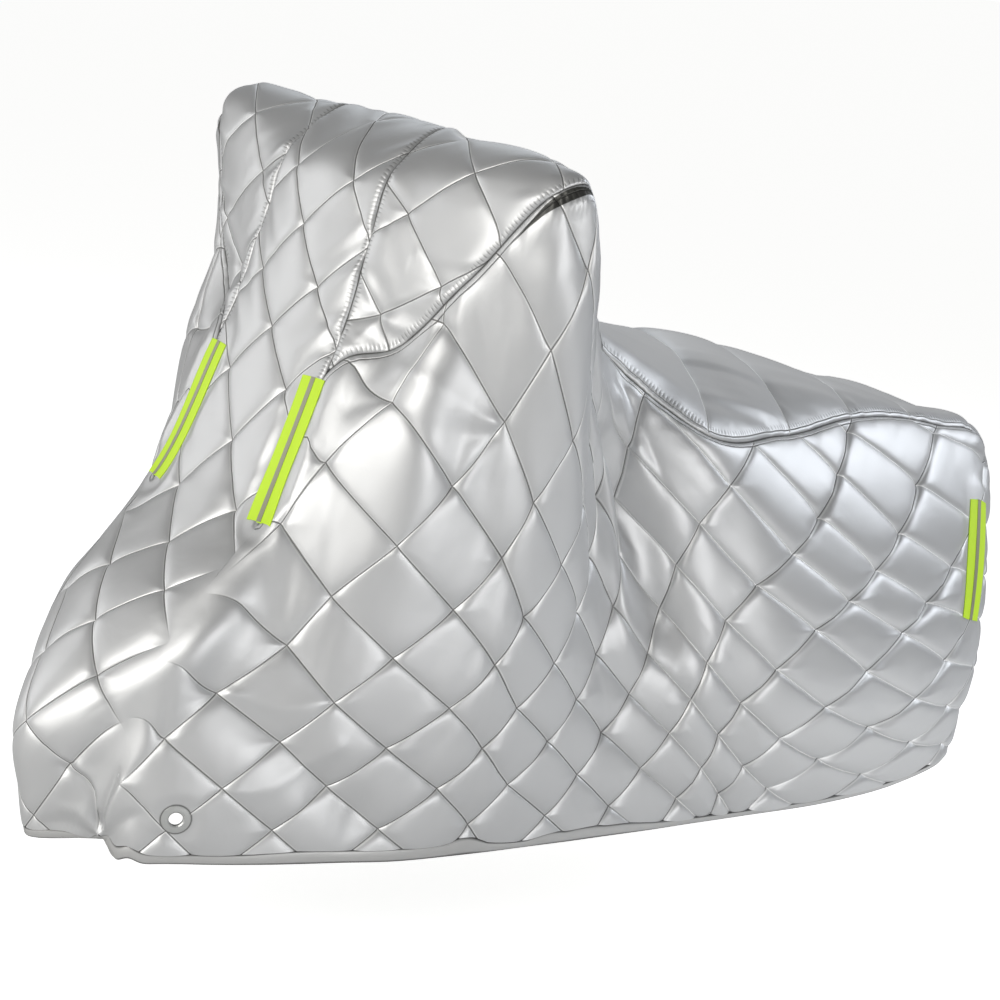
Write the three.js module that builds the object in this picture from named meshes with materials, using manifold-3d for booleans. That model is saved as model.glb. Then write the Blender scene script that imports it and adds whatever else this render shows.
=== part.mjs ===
// Quilted fitted cover as it hangs when it is pulled on: a tall front, a rounded seat panel behind
// it and full side panels down to a bound hem.
// Millimetres, +Z up, +X towards the tail, -Y the near side. The origin is under the crown.
import * as THREE from 'three';
import { mergeVertices } from 'three/addons/utils/BufferGeometryUtils.js';
import Module from 'manifold-3d';

const wasm = await Module();
wasm.setup();

// Driving sizes
const CLOTH = 2.4;            // backing, wadding and shell where they are stitched flat
const PUFF = 9;               // how far a quilted cell stands out of its stitch lines
const SEAT_PUFF = 5;          // the seat panel is quilted in one direction and lies flatter
const STANDOFF = 5;           // the ribs run this far outside the stitch lines, among the cells
const INNER_PUFF = 0.12;      // share of the puff that bulges inwards
const PUFF_FADE = 34;         // the wadding is pressed flat over this distance from a seam
const SEAM_GAP = 0.9;         // between two panels along their seam
const SEAM_STEP = 45;         // length of the straight pieces that a curved seam is cut in
const HEM_TAPE = { height: 12, inside: -1.5, outside: 4 };
const STRIP = { width: 48, thickness: 1.1, clearance: 0.8, flatMargin: 75, columns: 4, rows: 8 };
const STRIPE = { width: 8.5, thickness: 0.8, clearance: 0.35 };
const EYELET = { bore: 10.5, barrel: 12.5, flange: 22, lip: 18, rim: 1.6, clearance: 0.4, sides: 24 };
const PATCH = { radius: 40, flat: 26, hole: 13.4, wadding: 64 };  // the cloth around an eyelet
const SUBDIVISIONS = 2;       // facets along one side of a quilted cell
const RIB_POINTS = 61;        // points that each rib is resampled to
const RIB_DENSITY = 24;       // points per span of the rib's curve before that
const CROWN = { x: 222, z: 1236 };

// Colours
const SILVER = { color: 0xc9cbcc, roughness: 0.42, metalness: 0.35 };
const BINDING = { color: 0xd4d5d4, roughness: 0.5, metalness: 0.2 };
const LIME = { color: 0xc8ee28, roughness: 0.55, metalness: 0.0 };
const GREY_TAPE = { color: 0x97977f, roughness: 0.4, metalness: 0.2 };
const EYELET_METAL = { color: 0xc4c5c2, roughness: 0.3, metalness: 0.9 };

// Ribs: sections across one half of the cover, from the centre line out and down to the hem.
// centre is [x, z]; the others are [x, out, z], with z above the floor that the cover hangs over.
// inner is the seam between the front and brow panels, edge the top seam of the side panel, and
// shoulder the corner of the flat nose, just outside that seam.
const RIBS = [
  { at: 'bow hem', centre: [-262, 139], edge: [-185, 80, 156] },
  { at: 'nose', centre: [-306, 310], edge: [-197, 132, 335], waist: [-188, 155, 250], hem: [-172, 150, 144] },
  { at: 'nose top', centre: [-192, 490], edge: [-150, 150, 490], shoulder: [-142, 176, 474],
    waist: [-130, 185, 380], belly: [-110, 205, 260], hem: [-100, 195, 149] },
  { at: 'strip foot', centre: [-43, 655], edge: [-29, 145, 655], shoulder: [-25, 174, 646],
    waist: [-12, 208, 530], belly: [-12, 242, 335], hem: [0, 240, 156] },
  { at: 'strip head', centre: [38, 880], edge: [50, 145, 877], shoulder: [53, 176, 868],
    waist: [38, 222, 755], belly: [72, 285, 450], hem: [110, 275, 162] },
  { at: 'brow low', centre: [62, 990], inner: [84, 140, 985], edge: [116, 230, 942],
    waist: [102, 312, 880], belly: [158, 324, 520], hem: [200, 300, 166] },
  { at: 'brow middle', centre: [84, 1090], inner: [104, 135, 1085], edge: [145, 325, 1055],
    waist: [225, 345, 730], belly: [270, 348, 430], hem: [285, 313, 171] },
  { at: 'brow high', centre: [118, 1195], inner: [135, 130, 1188], edge: [190, 425, 1198],
    waist: [285, 385, 790], belly: [335, 352, 440], hem: [355, 320, 175] },
  { at: 'crown', centre: [222, 1262], inner: [218, 124, 1251], edge: [243, 444, 1222],
    waist: [345, 385, 810], belly: [405, 345, 440], hem: [430, 322, 178] },
  { at: 'behind crown', centre: [335, 1190], inner: [335, 130, 1180], edge: [294, 400, 1135],
    waist: [420, 332, 800], belly: [480, 325, 440], hem: [510, 322, 180] },
  { at: 'back slope', centre: [460, 1050], inner: [455, 150, 1035], edge: [395, 335, 1000],
    waist: [500, 290, 740], belly: [565, 310, 440], hem: [595, 322, 183] },
  { at: 'seat front', centre: [600, 965], edge: [503, 235, 948], waist: [590, 285, 690],
    belly: [650, 330, 430], hem: [685, 320, 185] },
  { at: 'seat wide', centre: [710, 940], edge: [665, 312, 838], waist: [700, 352, 650],
    belly: [735, 368, 420], hem: [775, 316, 187] },
  { at: 'seat middle', centre: [860, 930], edge: [860, 285, 828], waist: [880, 368, 640],
    belly: [890, 388, 400], hem: [900, 312, 190] },
  { at: 'seat rear', centre: [1080, 895], edge: [1080, 235, 850], waist: [1110, 338, 650],
    belly: [1115, 375, 400], hem: [1110, 297, 193] },
  { at: 'tail top', centre: [1350, 828], edge: [1320, 197, 832], waist: [1340, 282, 650],
    belly: [1340, 325, 400], hem: [1320, 268, 207] },
  { at: 'tail bend', centre: [1555, 792], edge: [1460, 180, 800], waist: [1431, 264, 640],
    belly: [1432, 290, 400], hem: [1412, 262, 232] },
  { at: 'tail upper', centre: [1635, 690], edge: [1510, 176, 680], waist: [1494, 205, 540],
    belly: [1485, 228, 380], hem: [1470, 226, 242] },
  { at: 'tail lower', centre: [1625, 450], edge: [1518, 164, 450], waist: [1508, 180, 380],
    hem: [1488, 200, 245] },
  { at: 'stern hem', centre: [1585, 248], edge: [1496, 160, 246] },
];
const BROW_START = 4;         // the rib where the brow panels begin
const BROW_END = 11;          // the rib where they end, and the front panel meets the seat panel

// Quilting of the side panels. A node of the diamond pattern has a column and a row; along is its
// place from bow to stern, height its distance above the hem, lean how far back the next row lies,
// and lift scales the heights, because the cloth is drawn up at the front and eased at the tail.
const SIDE_COLUMNS = [
  { column: -24, along: -680, lean: 0, lift: 1.15 },
  { column: -20, along: -220, lean: 0, lift: 1.15 },
  { column: -16, along: 235, lean: 0, lift: 1.12 },
  { column: -12, along: 700, lean: 0, lift: 1.07 },
  { column: -8, along: 1066, lean: 7, lift: 1 },
  { column: -4, along: 1405, lean: 25, lift: 0.98 },
  { column: 0, along: 1660, lean: 22, lift: 0.95 },
  { column: 4, along: 2125, lean: 40, lift: 0.84 },
  { column: 8, along: 2610, lean: 30, lift: 0.78 },
  { column: 12, along: 3080, lean: 20, lift: 0.75 },
];
const SIDE_ROWS = [
  { row: -8, height: 1750 }, { row: -6, height: 1480 }, { row: -4, height: 1210 },
  { row: -2, height: 945 }, { row: 0, height: 672 }, { row: 2, height: 468 }, { row: 4, height: 305 },
  { row: 6, height: 172 }, { row: 8, height: 48 }, { row: 10, height: -75 }, { row: 12, height: -200 },
];
// Quilting of the front panel: a row's place up from the bow hem, and its sideways shift.
const FRONT_ROWS = [
  { row: -14, along: -230, shift: -20 }, { row: -12, along: -100, shift: -20 },
  { row: -10, along: 30, shift: -20 }, { row: -8, along: 163, shift: -14 },
  { row: -6, along: 285, shift: -8 }, { row: -4, along: 400, shift: -10 },
  { row: -2, along: 522, shift: -6 }, { row: 0, along: 657, shift: 6 },
  { row: 2, along: 833, shift: 10 }, { row: 4, along: 1018, shift: 0 }, { row: 6, along: 1200, shift: 0 },
  { row: 8, along: 1380, shift: 0 }, { row: 10, along: 1560, shift: 0 }, { row: 12, along: 1740, shift: 0 },
];
const FRONT_PITCH = 76;       // from one column of the front panel to the next
const BROW = { along: 892, across: 195, rowPitch: 72, columnPitch: 95 };
const SEAT = { along: 1640, linePitch: 168, slant: 0.27, strandPitch: 84 };

const CORNER_LINE = 10;       // the stitch line that parts the front corner from the side panel
const EYELET_AT = { along: 254, height: 73 };

// Reflective strips on each side: from and to are [along, height above the hem]
const STRIPS = [
  { name: 'front', from: [457, 532], to: [610, 768] },
  { name: 'rear', from: [2199, 308], to: [2240, 503] },
];

// The main folds of the hanging cloth, as soft troughs (negative depth) and ridges between two
// chart points [along, height above the hem]. The two sides do not hang quite alike.
const FOLDS = [
  { side: -1, from: [1208, 768], to: [1361, 637], depth: -9, width: 46 },
  { side: -1, from: [1361, 637], to: [1445, 350], depth: -13, width: 52 },
  { side: -1, from: [1290, 690], to: [1330, 330], depth: 8, width: 40 },
  { side: -1, from: [960, 930], to: [1133, 440], depth: 8, width: 50 },
  { side: -1, from: [363, 269], to: [640, 75], depth: -9, width: 42 },
  { side: -1, from: [1560, 520], to: [1590, 190], depth: -8, width: 50 },
  { side: -1, from: [1900, 420], to: [1935, 150], depth: -6, width: 55 },
  { side: 1, from: [1230, 740], to: [1415, 330], depth: -12, width: 50 },
  { side: 1, from: [1010, 880], to: [1100, 420], depth: 9, width: 48 },
  { side: 1, from: [400, 250], to: [610, 90], depth: -7, width: 44 },
  { side: 1, from: [1700, 470], to: [1740, 160], depth: -9, width: 52 },
];

// The ribs as evenly spaced points
const ribs = RIBS.map((rib) => {
  const { centre, inner, edge, shoulder, waist, belly, hem } = rib;
  const stations = [[centre[0], 0, centre[1]], inner, edge, shoulder, waist, belly, hem];
  const knots = stations.filter(Boolean).map(([x, out, z]) => new THREE.Vector3(x, -out, z));
  const mirrored = knots[1].clone().setY(-knots[1].y);
  const curve = new THREE.CatmullRomCurve3([mirrored, ...knots], false, 'centripetal');
  const last = RIB_DENSITY * knots.length;
  const dense = [];
  for (let k = RIB_DENSITY; k <= last; k++) dense.push(curve.getPoint(k / last));
  const run = [0];
  for (let k = 1; k < dense.length; k++) run.push(run[k - 1] + dense[k].distanceTo(dense[k - 1]));
  const length = run[run.length - 1];
  const points = [];
  for (let k = 0, at = 0; k < RIB_POINTS; k++) {
    const target = (length * k) / (RIB_POINTS - 1);
    while (at < run.length - 2 && run[at + 1] < target) at++;
    const share = (target - run[at]) / (run[at + 1] - run[at]);
    points.push(dense[at].clone().lerp(dense[at + 1], Math.min(share, 1)));
  }
  const edgeKnot = rib.inner ? 2 : 1;
  return { points, length, inner: run[RIB_DENSITY] / length, edge: run[RIB_DENSITY * edgeKnot] / length };
});

// Place of each rib from bow to stern: the mean distance between neighbours, summed
const spacing = (a, b) => {
  const probes = [0, 20, 40, 60];
  return probes.reduce((sum, k) => sum + a.points[k].distanceTo(b.points[k]), 0) / probes.length;
};
const ribAlong = [0];
for (let k = 1; k < ribs.length; k++) ribAlong.push(ribAlong[k - 1] + spacing(ribs[k - 1], ribs[k]));
const STERN = ribAlong[ribAlong.length - 1];

// Smooth curve through values given at rising stations
function smooth(stations, values) {
  const n = stations.length;
  const step = stations.slice(1).map((s, k) => s - stations[k]);
  const rate = values.slice(1).map((v, k) => (v - values[k]) / step[k]);
  const slope = values.map((v, k) => {
    if (k === 0) return rate[0];
    if (k === n - 1) return rate[n - 2];
    return (rate[k - 1] * step[k] + rate[k] * step[k - 1]) / (step[k - 1] + step[k]);
  });
  return (at) => {
    let k = 0;
    while (k < n - 2 && stations[k + 1] < at) k++;
    const w = (at - stations[k]) / step[k];
    if (w < 0) return values[0] + slope[0] * (at - stations[0]);
    if (w > 1) return values[n - 1] + slope[n - 1] * (at - stations[n - 1]);
    const rise = values[k] * (2 * w ** 3 - 3 * w ** 2 + 1) + values[k + 1] * (3 * w ** 2 - 2 * w ** 3);
    return rise + step[k] * (slope[k] * (w ** 3 - 2 * w ** 2 + w) + slope[k + 1] * (w ** 3 - w ** 2));
  };
}
const column = (rows, key, value) => smooth(rows.map((r) => r[key]), rows.map((r) => r[value]));

const ribCurves = [];
for (let k = 0; k < RIB_POINTS; k++) {
  ribCurves.push(['x', 'y', 'z'].map((axis) => smooth(ribAlong, ribs.map((rib) => rib.points[k][axis]))));
}

// Rib length and seam places, straight between seam stations so that neighbouring panels agree
const seamStations = [];
const stationCount = Math.round(STERN / SEAM_STEP);
for (let k = 0; k <= stationCount; k++) seamStations.push((STERN * k) / stationCount);
const chord = (curve) => {
  const values = seamStations.map(curve);
  return (at) => {
    const place = THREE.MathUtils.clamp((at / STERN) * stationCount, 0, stationCount - 1e-9);
    const k = Math.floor(place);
    return THREE.MathUtils.lerp(values[k], values[k + 1], place - k);
  };
};
const lengthCurve = smooth(ribAlong, ribs.map((rib) => rib.length));
const edgeCurve = smooth(ribAlong, ribs.map((rib) => rib.edge));
const innerCurve = smooth(ribAlong, ribs.map((rib) => rib.inner));
const ribLength = chord(lengthCurve);
const edgeAcross = chord((at) => edgeCurve(at) * lengthCurve(at));
const innerAcross = chord((at) => Math.min(innerCurve(at), edgeCurve(at)) * lengthCurve(at));

// A point of the cover: along from bow to stern, across from the centre line, near side negative
function surface(along, across) {
  const at = THREE.MathUtils.clamp(along, 0, STERN);
  const place = Math.min(Math.abs(across) / ribLength(at), 1) * (RIB_POINTS - 1);
  const k = Math.min(Math.floor(place), RIB_POINTS - 2);
  const [x, y, z] = [0, 1, 2].map((axis) =>
    THREE.MathUtils.lerp(ribCurves[k][axis](at), ribCurves[k + 1][axis](at), place - k));
  return new THREE.Vector3(x, across > 0 ? -y : y, z);
}

const PROBE = 3;              // half the distance over which slopes of the surface are taken
function frame(along, across) {
  const limit = ribLength(along) - PROBE;
  const a = THREE.MathUtils.clamp(along, PROBE, STERN - PROBE);
  const c = THREE.MathUtils.clamp(across, -limit, limit);
  const alongStep = surface(a + PROBE, c).sub(surface(a - PROBE, c)).divideScalar(2 * PROBE);
  const acrossStep = surface(a, c + PROBE).sub(surface(a, c - PROBE)).divideScalar(2 * PROBE);
  const out = new THREE.Vector3().crossVectors(alongStep, acrossStep).normalize();
  return { alongStep, acrossStep, out };
}

// How far the folds push the cloth out at a chart point
function relief(along, across) {
  const here = new THREE.Vector3(along, ribLength(along) - Math.abs(across), 0);
  const nearest = new THREE.Vector3();
  let sum = 0;
  for (const { side, from, to, depth, width } of FOLDS) {
    if (side * across <= 0) continue;
    new THREE.Line3(new THREE.Vector3(...from), new THREE.Vector3(...to)).closestPointToPoint(here, true, nearest);
    sum += depth * Math.exp(-((here.distanceTo(nearest) / width) ** 2));
  }
  return sum;
}
function raised(along, across, rise) {
  return surface(along, across).addScaledVector(frame(along, across).out, rise + relief(along, across) - STANDOFF);
}

// The chart point that lies a distance away from another in a direction along the cloth
function stepOver(along, across, direction, distance) {
  const { alongStep: u, acrossStep: v } = frame(along, across);
  const [uu, uv, vv] = [u.dot(u), u.dot(v), v.dot(v)];
  const [du, dv] = [direction.dot(u), direction.dot(v)];
  const det = uu * vv - uv * uv;
  return [along + (distance * (du * vv - dv * uv)) / det, across + (distance * (dv * uu - du * uv)) / det];
}

// Closed meshes, solids and back again
function toGeometry(positions, indices) {
  const geometry = new THREE.BufferGeometry();
  geometry.setAttribute('position', new THREE.Float32BufferAttribute(positions, 3));
  geometry.setIndex(indices);
  return geometry;
}

// The same with its triangles turned so that they face out
function outward(positions, indices) {
  const [a, b, c] = [new THREE.Vector3(), new THREE.Vector3(), new THREE.Vector3()];
  let volume = 0;
  for (let k = 0; k < indices.length; k += 3) {
    [a, b, c].forEach((corner, n) => corner.fromArray(positions, 3 * indices[k + n]));
    volume += a.dot(b.cross(c));
  }
  return toGeometry(positions, volume < 0 ? indices.reverse() : indices);
}

function toSolid(geometry) {
  const bare = geometry.clone();
  bare.deleteAttribute('normal');
  bare.deleteAttribute('uv');
  const merged = mergeVertices(bare, 1e-4);
  return new wasm.Manifold(new wasm.Mesh({
    numProp: 3,
    vertProperties: new Float32Array(merged.attributes.position.array),
    triVerts: new Uint32Array(merged.index.array),
  }));
}

// Biggest body of a solid, as points and triangles
function largest(solid) {
  const bodies = solid.decompose();
  bodies.sort((a, b) => b.volume() - a.volume());
  const mesh = bodies[0].getMesh();
  const points = [];
  for (let k = 0; k < mesh.numVert; k++) points.push([...mesh.vertProperties.slice(k * mesh.numProp, k * mesh.numProp + 3)]);
  return { points, triangles: [...mesh.triVerts] };
}

const group = new THREE.Group();

function add(name, geometry, finish) {
  const mesh = new THREE.Mesh(geometry, new THREE.MeshStandardMaterial(finish));
  mesh.name = name;
  group.add(mesh);
}

// A flat slab of quilted cloth, with its facets in line with the stitch lines.
// flat(i, j) gives the chart point of a pattern point, pillow(i, j) the height of the wadding there.
function quiltedSlab([iFrom, iTo], [jFrom, jTo], flat, pillow) {
  const rows = (iTo - iFrom) * SUBDIVISIONS;
  const columns = (jTo - jFrom) * SUBDIVISIONS;
  const positions = [];
  for (const layer of [1, 0]) {
    for (let r = 0; r <= rows; r++) {
      for (let c = 0; c <= columns; c++) {
        const i = iFrom + r / SUBDIVISIONS;
        const j = jFrom + c / SUBDIVISIONS;
        const puff = pillow(i, j);
        positions.push(...flat(i, j), layer ? CLOTH + puff : -INNER_PUFF * puff - 0.01 * ((r + c) % 2));
      }
    }
  }
  const index = (layer, r, c) => layer * (rows + 1) * (columns + 1) + r * (columns + 1) + c;
  const quads = [];
  for (let r = 0; r < rows; r++) {
    for (let c = 0; c < columns; c++) {
      quads.push([index(0, r, c), index(0, r + 1, c), index(0, r + 1, c + 1), index(0, r, c + 1)]);
      quads.push([index(1, r, c), index(1, r, c + 1), index(1, r + 1, c + 1), index(1, r + 1, c)]);
    }
  }
  for (let r = 0; r < rows; r++) {
    quads.push([index(0, r, 0), index(1, r, 0), index(1, r + 1, 0), index(0, r + 1, 0)]);
    quads.push([index(0, r, columns), index(0, r + 1, columns), index(1, r + 1, columns), index(1, r, columns)]);
  }
  for (let c = 0; c < columns; c++) {
    quads.push([index(0, 0, c), index(0, 0, c + 1), index(1, 0, c + 1), index(1, 0, c)]);
    quads.push([index(0, rows, c), index(1, rows, c), index(1, rows, c + 1), index(0, rows, c + 1)]);
  }
  const triangles = quads.flatMap(([a, b, c, d]) => [a, b, c, a, c, d]);
  return toSolid(outward(positions, triangles));
}

// A cutter through the slab with a flat outline
function cutter(outline) {
  const shape = new THREE.Shape(outline.map(([x, y]) => new THREE.Vector2(x, y)));
  const geometry = new THREE.ExtrudeGeometry(shape, { depth: 60, bevelEnabled: false });
  return toSolid(geometry.translate(0, 0, -20));
}

// Nearest place on an outline: how far off it is, and between which of its corners it lies
function nearestOnOutline([x, y], outline) {
  let nearest = { distance: Infinity };
  outline.forEach(([ax, ay], k) => {
    const [bx, by] = outline[(k + 1) % outline.length];
    const run = (bx - ax) ** 2 + (by - ay) ** 2;
    const share = THREE.MathUtils.clamp(((x - ax) * (bx - ax) + (y - ay) * (by - ay)) / run, 0, 1);
    const distance = Math.hypot(x - ax - share * (bx - ax), y - ay - share * (by - ay));
    if (distance < nearest.distance) nearest = { distance, from: [ax, ay], to: [bx, by], share };
  });
  return nearest;
}

// Cut a panel out of its slab, press its edges flat and drape it. Points on a cut edge are set on
// straight lines between the corners of the outline, so that the panels on both sides of a seam agree.
const ON_EDGE = 0.01;
function panel(name, slab, outline, holes, toChart) {
  let solid = slab.intersect(cutter(outline));
  for (const hole of holes) solid = solid.subtract(cutter(hole));
  const { points, triangles } = largest(solid);
  const positions = points.flatMap(([x, y, z]) => {
    const fade = THREE.MathUtils.smoothstep(nearestOnOutline([x, y], outline).distance, 0, PUFF_FADE);
    const rise = z > CLOTH / 2 ? CLOTH + (z - CLOTH) * fade : z * fade;
    const edge = [outline, ...holes].map((loop) => nearestOnOutline([x, y], loop))
      .find(({ distance }) => distance < ON_EDGE);
    if (!edge) return raised(...toChart(x, y), rise).toArray();
    const [start, end] = [edge.from, edge.to].map((corner) => raised(...toChart(...corner), rise));
    return start.lerp(end, edge.share).toArray();
  });
  add(name, outward(positions, triangles), SILVER);
}

// Heights of a diamond quilt: a pillow in each cell
const pillow = (i, j) => Math.sqrt(Math.abs(Math.sin(Math.PI * i) * Math.sin(Math.PI * j)));

// The wadding is flat under the strips and around the eyelets
const stripAcross = ([along, height], side) => side * (ribLength(along) - height);
function trimClearance(along, across) {
  const side = Math.sign(across) || 1;
  const here = surface(along, across);
  let clear = here.distanceTo(surface(EYELET_AT.along, stripAcross([EYELET_AT.along, EYELET_AT.height], side)));
  clear -= PATCH.wadding;
  for (const strip of STRIPS) {
    const a = surface(strip.from[0], stripAcross(strip.from, side));
    const b = surface(strip.to[0], stripAcross(strip.to, side));
    const nearest = new THREE.Line3(a, b).closestPointToPoint(here, true, new THREE.Vector3());
    clear = Math.min(clear, here.distanceTo(nearest) - STRIP.width / 2 - STRIP.flatMargin);
  }
  return THREE.MathUtils.smoothstep(clear, 0, PUFF_FADE);
}

// Outline of a panel between a lower and an upper curve over a stretch from bow to stern, and the
// first place, stepping along, where the two are a given width apart
function band(from, to, lower, upper) {
  const stops = [from, ...seamStations.filter((s) => s > from + 4 && s < to - 4), to];
  const shifted = (curve, at, sign) => {
    const slope = (curve(at + 2) - curve(at - 2)) / 4;
    return curve(at) + sign * (SEAM_GAP / 2) * Math.hypot(1, slope);
  };
  const low = stops.map((at) => [at, shifted(lower, at, 1)]);
  const high = stops.map((at) => [at, shifted(upper, at, -1)]).reverse();
  return [...low, ...rung(low[low.length - 1], high[0]), ...high, ...rung(high[high.length - 1], low[0])];
}
// Points between two corners at one end of a band, an even number of steps apart
const halfSteps = (half) => Math.ceil(half / SEAM_STEP);
function rung([at, start], [, end]) {
  const steps = Math.abs(end - start) > SEAM_STEP ? 2 * halfSteps(Math.abs(end - start) / 2) : 1;
  return Array.from({ length: steps - 1 }, (_, k) => [at, THREE.MathUtils.lerp(start, end, (k + 1) / steps)]);
}
function opensAt(lower, upper, from, step, width) {
  let at = from;
  while (upper(at) - lower(at) < width) at += step;
  return at;
}

// The hem tape covers this much of the cloth above the hem, measured along a rib: more where the
// hem runs steeply across the ribs, so that the tape keeps its width
const hemSlope = (at) => (lengthCurve(at + 2) - lengthCurve(at - 2)) / 4;
const hemTop = chord((at) => HEM_TAPE.height * Math.hypot(1, hemSlope(THREE.MathUtils.clamp(at, 2, STERN - 2))));
const BOW_EDGE = HEM_TAPE.height + 5 * SEAM_GAP;
const STERN_EDGE = STERN - BOW_EDGE;
const NARROWEST = 5;

// Side panels with their front corners and the patches that hold the eyelets
const columnAlong = column(SIDE_COLUMNS, 'column', 'along');
const columnLean = column(SIDE_COLUMNS, 'column', 'lean');
const columnLift = column(SIDE_COLUMNS, 'column', 'lift');
const rowHeight = column(SIDE_ROWS, 'row', 'height');
const sidePattern = (i, j) => [
  columnAlong(j - i) + columnLean(j - i) * (i + j - 4),
  columnLift(j - i) * rowHeight(i + j),
];
const topSeam = (at) => ribLength(at) - edgeAcross(at);
const sideOutline = band(
  opensAt(hemTop, topSeam, BOW_EDGE, 1, NARROWEST),
  opensAt(hemTop, topSeam, STERN_EDGE, -1, NARROWEST),
  hemTop,
  topSeam,
);

// Everything beyond a stitch line, as an outline: the line itself, then far out and back
function beyondLine(i) {
  const edge = [];
  for (let j = -9; j <= 1; j += 1 / SUBDIVISIONS) edge.push(sidePattern(i, j));
  const [first, last] = [edge[0], edge[edge.length - 1]];
  return [...edge, [last[0], -400], [-700, -400], [-700, first[1]]];
}

// A circle on the cloth around an eyelet, and its places in space on the plane of the eyelet
function eyeletPlane(side) {
  const across = stripAcross([EYELET_AT.along, EYELET_AT.height], side);
  const { alongStep, out } = frame(EYELET_AT.along, across);
  const right = alongStep.clone().normalize();
  const up = new THREE.Vector3().crossVectors(out, right);
  const centre = raised(EYELET_AT.along, across, 0);
  const circle = (radius, sides) => {
    const points = [];
    for (let k = 0; k < sides; k++) {
      const turn = (2 * Math.PI * k) / sides;
      const spoke = right.clone().multiplyScalar(Math.cos(turn)).addScaledVector(up, Math.sin(turn));
      points.push({ spoke, chart: stepOver(EYELET_AT.along, across, spoke, radius) });
    }
    return points;
  };
  return { centre, right, up, out, circle };
}

function eyeletPatch(name, side) {
  const plane = eyeletPlane(side);
  const rim = plane.circle(PATCH.radius - SEAM_GAP, EYELET.sides);
  const ring = (radius, rise) => rim.map(({ spoke }) =>
    plane.centre.clone().addScaledVector(spoke, radius).addScaledVector(plane.out, rise));
  const edge = (rise) => rim.map(({ chart }) => raised(...chart, rise));
  const loops = [
    ring(PATCH.hole, 0), ring(PATCH.flat, 0), edge(0),
    edge(CLOTH), ring(PATCH.flat, CLOTH), ring(PATCH.hole, CLOTH),
  ];
  add(name, closedTube(loops, true), SILVER);
}

// A closed band of loops: each loop is joined to the next, and the last to the first when ring is
// set; otherwise the first and last loops are filled in
function closedTube(loops, ring) {
  const size = loops[0].length;
  const positions = loops.flat().flatMap((p) => p.toArray());
  const triangles = [];
  const count = ring ? loops.length : loops.length - 1;
  for (let a = 0; a < count; a++) {
    const b = (a + 1) % loops.length;
    for (let k = 0; k < size; k++) {
      const next = (k + 1) % size;
      const [p, q, r, s] = [a * size + k, a * size + next, b * size + next, b * size + k];
      triangles.push(p, r, q, p, s, r);
    }
  }
  if (!ring) {
    const end = (loops.length - 1) * size;
    for (let k = 1; k < size - 1; k++) triangles.push(0, k, k + 1, end, end + k + 1, end + k);
  }
  return outward(positions, triangles);
}

// A metal eyelet: flange outside, barrel through the cloth, turned lip inside
function eyelet(name, side) {
  const { centre, right, up, out } = eyeletPlane(side);
  const top = CLOTH + EYELET.clearance;
  const profile = [
    [EYELET.bore, -EYELET.clearance - EYELET.rim], [EYELET.lip, -EYELET.clearance - EYELET.rim / 2],
    [EYELET.lip, -EYELET.clearance], [EYELET.barrel, -EYELET.clearance], [EYELET.barrel, top],
    [EYELET.flange, top], [EYELET.flange - EYELET.rim / 3, top + EYELET.rim / 2],
    [EYELET.barrel + EYELET.rim * 2, top + EYELET.rim], [EYELET.barrel, top + EYELET.rim],
    [EYELET.bore, top],
  ];
  const loops = profile.map(([radius, rise]) => {
    const loop = [];
    for (let k = 0; k < EYELET.sides; k++) {
      const turn = (2 * Math.PI * k) / EYELET.sides;
      loop.push(centre.clone().addScaledVector(out, rise)
        .addScaledVector(right, radius * Math.cos(turn)).addScaledVector(up, radius * Math.sin(turn)));
    }
    return loop;
  });
  add(name, closedTube(loops, true), EYELET_METAL);
}

// How high the finished pieces stand above the draped surface, the highest over a small patch
const REACH = 60;
function topOfCloth(along, across, patch) {
  const offsets = [-patch, 0, patch];
  const heights = offsets.flatMap((a) => offsets.map((b) => {
    const { out } = frame(along + a, across + b);
    const start = raised(along + a, across + b, REACH);
    const hits = new THREE.Raycaster(start, out.clone().negate(), 0, 2 * REACH).intersectObjects(group.children);
    return hits.length ? REACH - hits[0].distance : CLOTH;
  }));
  return Math.max(...heights);
}

// A tape laid on the cloth between two chart points
function tape(name, side, from, to, width, clearance, thickness, finish) {
  const start = surface(from[0], stripAcross(from, side));
  const finish3 = surface(to[0], stripAcross(to, side));
  const direction = finish3.clone().sub(start).normalize();
  const loops = [];
  for (let r = 0; r <= STRIP.rows; r++) {
    const share = r / STRIP.rows;
    const along = THREE.MathUtils.lerp(from[0], to[0], share);
    const across = THREE.MathUtils.lerp(stripAcross(from, side), stripAcross(to, side), share);
    const sideways = new THREE.Vector3().crossVectors(frame(along, across).out, direction).normalize();
    const chartPoints = [];
    for (let c = 0; c <= STRIP.columns; c++) {
      chartPoints.push(stepOver(along, across, sideways, width * (c / STRIP.columns - 0.5)));
    }
    const rises = chartPoints.map(([a, b]) => topOfCloth(a, b, width / 4) + clearance);
    const under = chartPoints.map(([a, b], c) => raised(a, b, rises[c]));
    const over = chartPoints.map(([a, b], c) => raised(a, b, rises[c] + thickness));
    loops.push([...under, ...over.reverse()]);
  }
  add(name, closedTube(loops, false), finish);
}

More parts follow.
